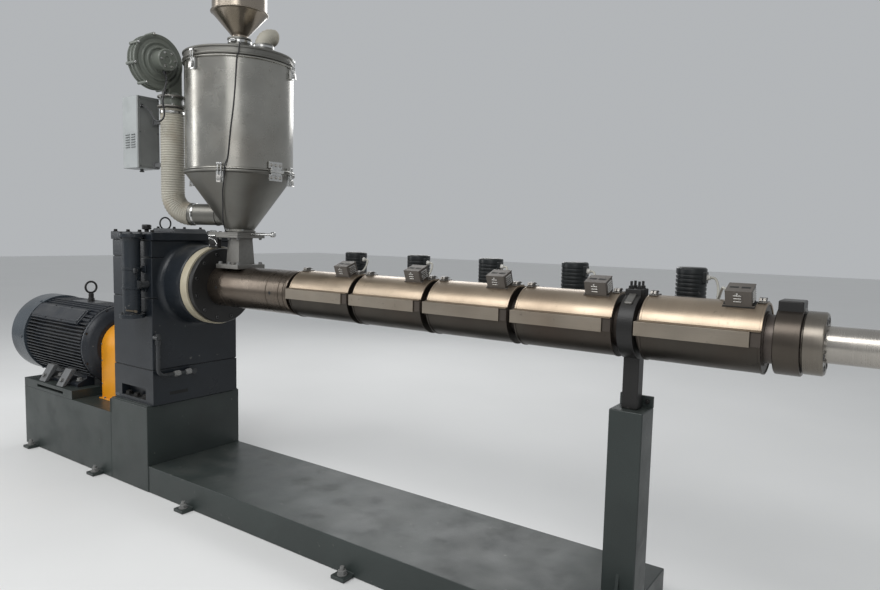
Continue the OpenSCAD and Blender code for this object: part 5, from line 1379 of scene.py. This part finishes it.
# Hot air hose and return elbow: coated glass fabric wound on a wire coil, finely ribbed, beige and
# grubby, pushed over their stubs.
def fabric(name, colour, grubby):
    """Coated woven cloth: fine weave, uneven tone and dirt in the folds."""
    material, shader, place = new_finish(name)
    weave = place.cloud(420, 2)
    tone = (place.cloud(5, 6) * 0.7 + weave * 0.3).span(0.32, 0.66)
    cloth = tone.tint([c * 0.72 for c in colour] + [1], [c * 1.12 for c in colour] + [1])
    dirt = place.cloud(9, 8).span(0.50, 0.76) * grubby
    cloth = dirt.tint(cloth, (0.22, 0.17, 0.11, 1))
    lay(shader, place, cloth, tone.span(0, 1, 0.55, 0.72), weave, 0.0006)
    return material


hose_fabric = fabric("hose fabric", (0.345, 0.327, 0.275), 0.6)
hose = bmesh.new()
out = INLET_WAY * (INLET_END + 0.0003) + Vector((0, 0, INLET_Z))
BEND_R = 0.105
route = []
for a in bend(math.pi / 2, 12):
    route.append(out + INLET_WAY * BEND_R * math.sin(a) + Vector((0, 0, BEND_R * (1 - math.cos(a)))))
route += [Vector((HOSE_X, HOSE_Y, z)) for z in (1.70, 1.85, HOSE_TOP - 0.0005)]
swept(hose, route, 0.0588, 40, 1, ripple=0.0032, pitch=0.0125)
made("hot_air_hose", hose, hose_fabric, "hose_fabric", "air_hose")
hose_band = bmesh.new()
turned(hose_band, [(0.0580, HOSE_TOP - 0.030), (0.0598, HOSE_TOP - 0.029), (0.0598, HOSE_TOP - 0.017),
                   (0.0580, HOSE_TOP - 0.016)], Matrix.Translation((HOSE_X, HOSE_Y, 0)), 48)
rod(hose_band, (HOSE_X + 0.045, HOSE_Y - 0.048, HOSE_TOP - 0.023),
    (HOSE_X + 0.060, HOSE_Y - 0.028, HOSE_TOP - 0.023), 0.004, sides=12)
made("hose_band", hose_band, chrome, "fitting_chrome")
elbow = bmesh.new()
ELBOW_X = 0.175
ELBOW_R = 0.062
route = [(ELBOW_X, 0, DOME_Z - 0.030)]
for a in bend(math.pi / 2, 10):
    route.append((ELBOW_X, ELBOW_R * (1 - math.cos(a)), DOME_Z - 0.016 + ELBOW_R * math.sin(a)))
route.append((ELBOW_X, 0.070, DOME_Z + 0.046))
swept(elbow, route, 0.0418, 36, 1, ripple=0.0032, pitch=0.0125)
made("return_elbow_hose", elbow, hose_fabric, "hose_fabric", "return_elbow")


# Blower cable: a black rubber cable that leaves a gland under the blower's motor drum, hangs in a
# loop, and enters the control box through a second gland.
CABLE_ROUTE = ((0.075, 0, -0.050), (0.078, 0.004, -0.070), (0.078, 0.008, -0.100), (0.078, -0.004, -0.150),
               (0.080, -0.014, -0.200), (0.080, -0.006, -0.246), (0.078, -0.010, -0.280),
               (0.062, -0.020, -0.296), (0.036, -0.022, -0.290), (-0.004, -0.016, -0.266),
               (-0.060, 0.002, -0.230), (-0.110, 0.010, -0.206), (-0.140, 0.012, -0.197),
               (-0.1568, 0.012, -0.196))
cable = bmesh.new()
hub = Vector((HOSE_X, AIR_Y, AIR_Z))
swept(cable, [hub + Vector(p) for p in CABLE_ROUTE], 0.0045, 12, 3)
rod(cable, hub + Vector((0.075, 0, -0.049)), hub + Vector((0.0765, 0.001, -0.066)), 0.009, sides=6)
rod(cable, hub + Vector((-0.142, 0.012, -0.197)), hub + Vector((-0.1568, 0.012, -0.196)), 0.009, sides=6)
made("blower_cable", cable, black_sheath, "lead_black", "air_cable")


# Control box: a light grey sheet steel cabinet with pressed louvres on the operator side and painted shade
# in their slits, a folded lid towards the drum painted darker as shade, a cable gland below and two flat arms
# that reach to the air hose.
control_grey = painted("control box enamel", (0.28, 0.298, 0.298), rough=0.36, dust=0.2)
# The lid is the cabinet's grey painted darker: painted shade on the side away from the light.
lid_shade_grey = painted("control box lid enamel in painted shade", (0.150, 0.156, 0.152), rough=0.34, dust=0.2)
BOX_LOW = Vector((-0.643, -0.253, 1.706))
BOX_HIGH = Vector((-0.497, -0.129, 2.078))
cabinet = bmesh.new()
block(cabinet, BOX_LOW, BOX_HIGH - Vector((0.010, 0, 0)), 0.003)
block(cabinet, (BOX_LOW.x - 0.020, BOX_HIGH.y - 0.030, BOX_HIGH.z - 0.0005),
      (BOX_LOW.x + 0.020, BOX_HIGH.y, BOX_HIGH.z + 0.005), 0.001)
lid_edge = bmesh.new()
block(lid_edge, (BOX_HIGH.x - 0.012, BOX_LOW.y + 0.0015, BOX_LOW.z + 0.0015),
      (BOX_HIGH.x - 0.0018, BOX_HIGH.y - 0.0015, BOX_HIGH.z - 0.0015), 0.002)
for low, high in (((0, 0.010), (0.124, 0.018)), ((0, 0.354), (0.124, 0.362)),
                  ((0.008, 0.010), (0.014, 0.362)), ((0.110, 0.010), (0.116, 0.362))):
    block(lid_edge, (BOX_HIGH.x - 0.003, BOX_LOW.y + low[0] + 0.002, BOX_LOW.z + low[1]),
          (BOX_HIGH.x - 0.0002, BOX_LOW.y + high[0] - 0.002, BOX_LOW.z + high[1]), 0.0008)
louvre_shade_and_screws = bmesh.new()
# The dark slits under the louvres are painted shade; the same dark grey colours the screws and the gland.
slit_shade_and_screw_grey = painted("shaded louvre slits", (0.060, 0.064, 0.064), rough=0.5, dust=0.1, chips=0)
for column in (0.030, 0.082):
    for row in range(6):
        z = BOX_LOW.z + 0.105 + row * 0.013
        x = BOX_LOW.x + column
        extruded(cabinet, [(BOX_LOW.y + 0.001, z + 0.0095), (BOX_LOW.y - 0.0002, z + 0.0095),
                           (BOX_LOW.y - 0.0042, z + 0.003), (BOX_LOW.y + 0.001, z + 0.003)], 0.036,
                           end_view(x), 0.0004)
        block(louvre_shade_and_screws, (x, BOX_LOW.y - 0.0022, z + 0.0005), (x + 0.036, BOX_LOW.y + 0.001, z + 0.0032), 0)
for y in (0.012, 0.112):
    for z in (0.012, 0.186, 0.360):
        screw = BOX_LOW + Vector((0.142, y, z))
        rod(louvre_shade_and_screws, screw, screw + Vector((0.0048, 0, 0)), 0.0035, sides=10, soft=0)
box_gland = Vector(((BOX_LOW.x + BOX_HIGH.x) / 2, (BOX_LOW.y + BOX_HIGH.y) / 2, BOX_LOW.z))
rod(louvre_shade_and_screws, box_gland + Vector((0, 0, 0.001)), box_gland - Vector((0, 0, 0.016)), 0.010, sides=6)
rod(louvre_shade_and_screws, box_gland - Vector((0, 0, 0.010)), box_gland - Vector((0, 0, 0.0155)), 0.012, sides=20)
made("control_cabinet", cabinet, control_grey, "control_paint", "control_box")
made("control_cabinet_lid", lid_edge, lid_shade_grey, "control_paint")
made("control_louvre_shade_and_screws", louvre_shade_and_screws, slit_shade_and_screw_grey, "control_paint")
arms = bmesh.new()
for z in (BOX_LOW.z + 0.010, BOX_LOW.z + 0.230):
    block(arms, (-0.4972, -0.163, z), (-0.3995, -0.143, z + 0.020), 0.0025)
    block(arms, (-0.4975, -0.172, z - 0.006), (-0.493, -0.134, z + 0.026), 0.001)
made("control_cabinet_arms", arms, strap_enamel, "control_paint")


# Vacuum receiver: a bright rolled stainless body with a cone below, rolled rings, a brimmed lid
# with the conveying spigot, and catches that hold the lid.
receiver_steel = steel("bright rolled receiver sheet", (0.30, 0.260, 0.215), 0.20, (5, 5, 900),
                       (0.17, 0.12, 0.08), 0.4, 0.15)
REC_Z0 = 2.344
REC_Z1 = 2.462
REC_TOP = 2.792
REC_R = 0.1325
REC_BEAD = 0.1405
body = bmesh.new()
turned(body, [(0, REC_Z0), (0.036, REC_Z0), (0.038, REC_Z0 + 0.002), (0.038, REC_Z0 + 0.013),
              (0.042, REC_Z0 + 0.016), (REC_R - 0.003, REC_Z1 - 0.004), (REC_R, REC_Z1)]
       + bead(REC_BEAD, REC_Z1 + 0.0005, REC_Z1 + 0.010)
       + [(REC_R, REC_Z1 + 0.0105), (REC_R, REC_TOP - 0.0105)]
       + bead(REC_BEAD, REC_TOP - 0.010, REC_TOP - 0.0005)
       + [(REC_R, REC_TOP - 0.0004), (0, REC_TOP - 0.0004)], sides=96)
made("receiver_body", body, receiver_steel, "receiver_steel", "receiver_hopper")
lid_low, lid_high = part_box("receiver_lid")
brim = (lid_high.x - lid_low.x) / 2
cap = bmesh.new()
turned(cap, [(0, REC_TOP), (brim - 0.009, REC_TOP)]
       + [(r + 0.0001, z) for r, z in bead(brim, REC_TOP, REC_TOP + 0.012)]
       + [(brim - 0.010, REC_TOP + 0.012), (REC_R - 0.012, REC_TOP + 0.018), (REC_R - 0.035, REC_TOP + 0.036),
          (0.060, REC_TOP + 0.050), (0.030, REC_TOP + 0.0515), (0.0225, REC_TOP + 0.056),
          (0.0225, lid_high.z - 0.012), (0.0215, lid_high.z - 0.010), (0.0225, lid_high.z - 0.006),
          (0.0222, lid_high.z - 0.0002), (0.0190, lid_high.z), (0.0190, lid_high.z - 0.060),
          (0, lid_high.z - 0.060)], sides=96)
made("receiver_cap", cap, receiver_steel, "receiver_steel", "receiver_lid")
catches = bmesh.new()
for turn in (-150, -30, 90):
    place = Matrix.Rotation(math.radians(turn), 4, "Z")
    block(catches, (REC_R - 0.002, -0.012, REC_TOP - 0.075), (REC_R + 0.003, 0.012, REC_TOP - 0.025), 0.001,
          place)
    for y in (-0.006, 0.006):
        rod(catches, place @ Vector((REC_R + 0.0055, y, REC_TOP - 0.060)),
            place @ Vector((REC_R + 0.0055, y, REC_TOP - 0.008)), 0.0018, sides=8)
    block(catches, (REC_R + 0.0025, -0.009, REC_TOP - 0.070), (REC_R + 0.0078, 0.009, REC_TOP - 0.050),
          0.0015, place)
made("receiver_catches", catches, chrome, "fitting_chrome")
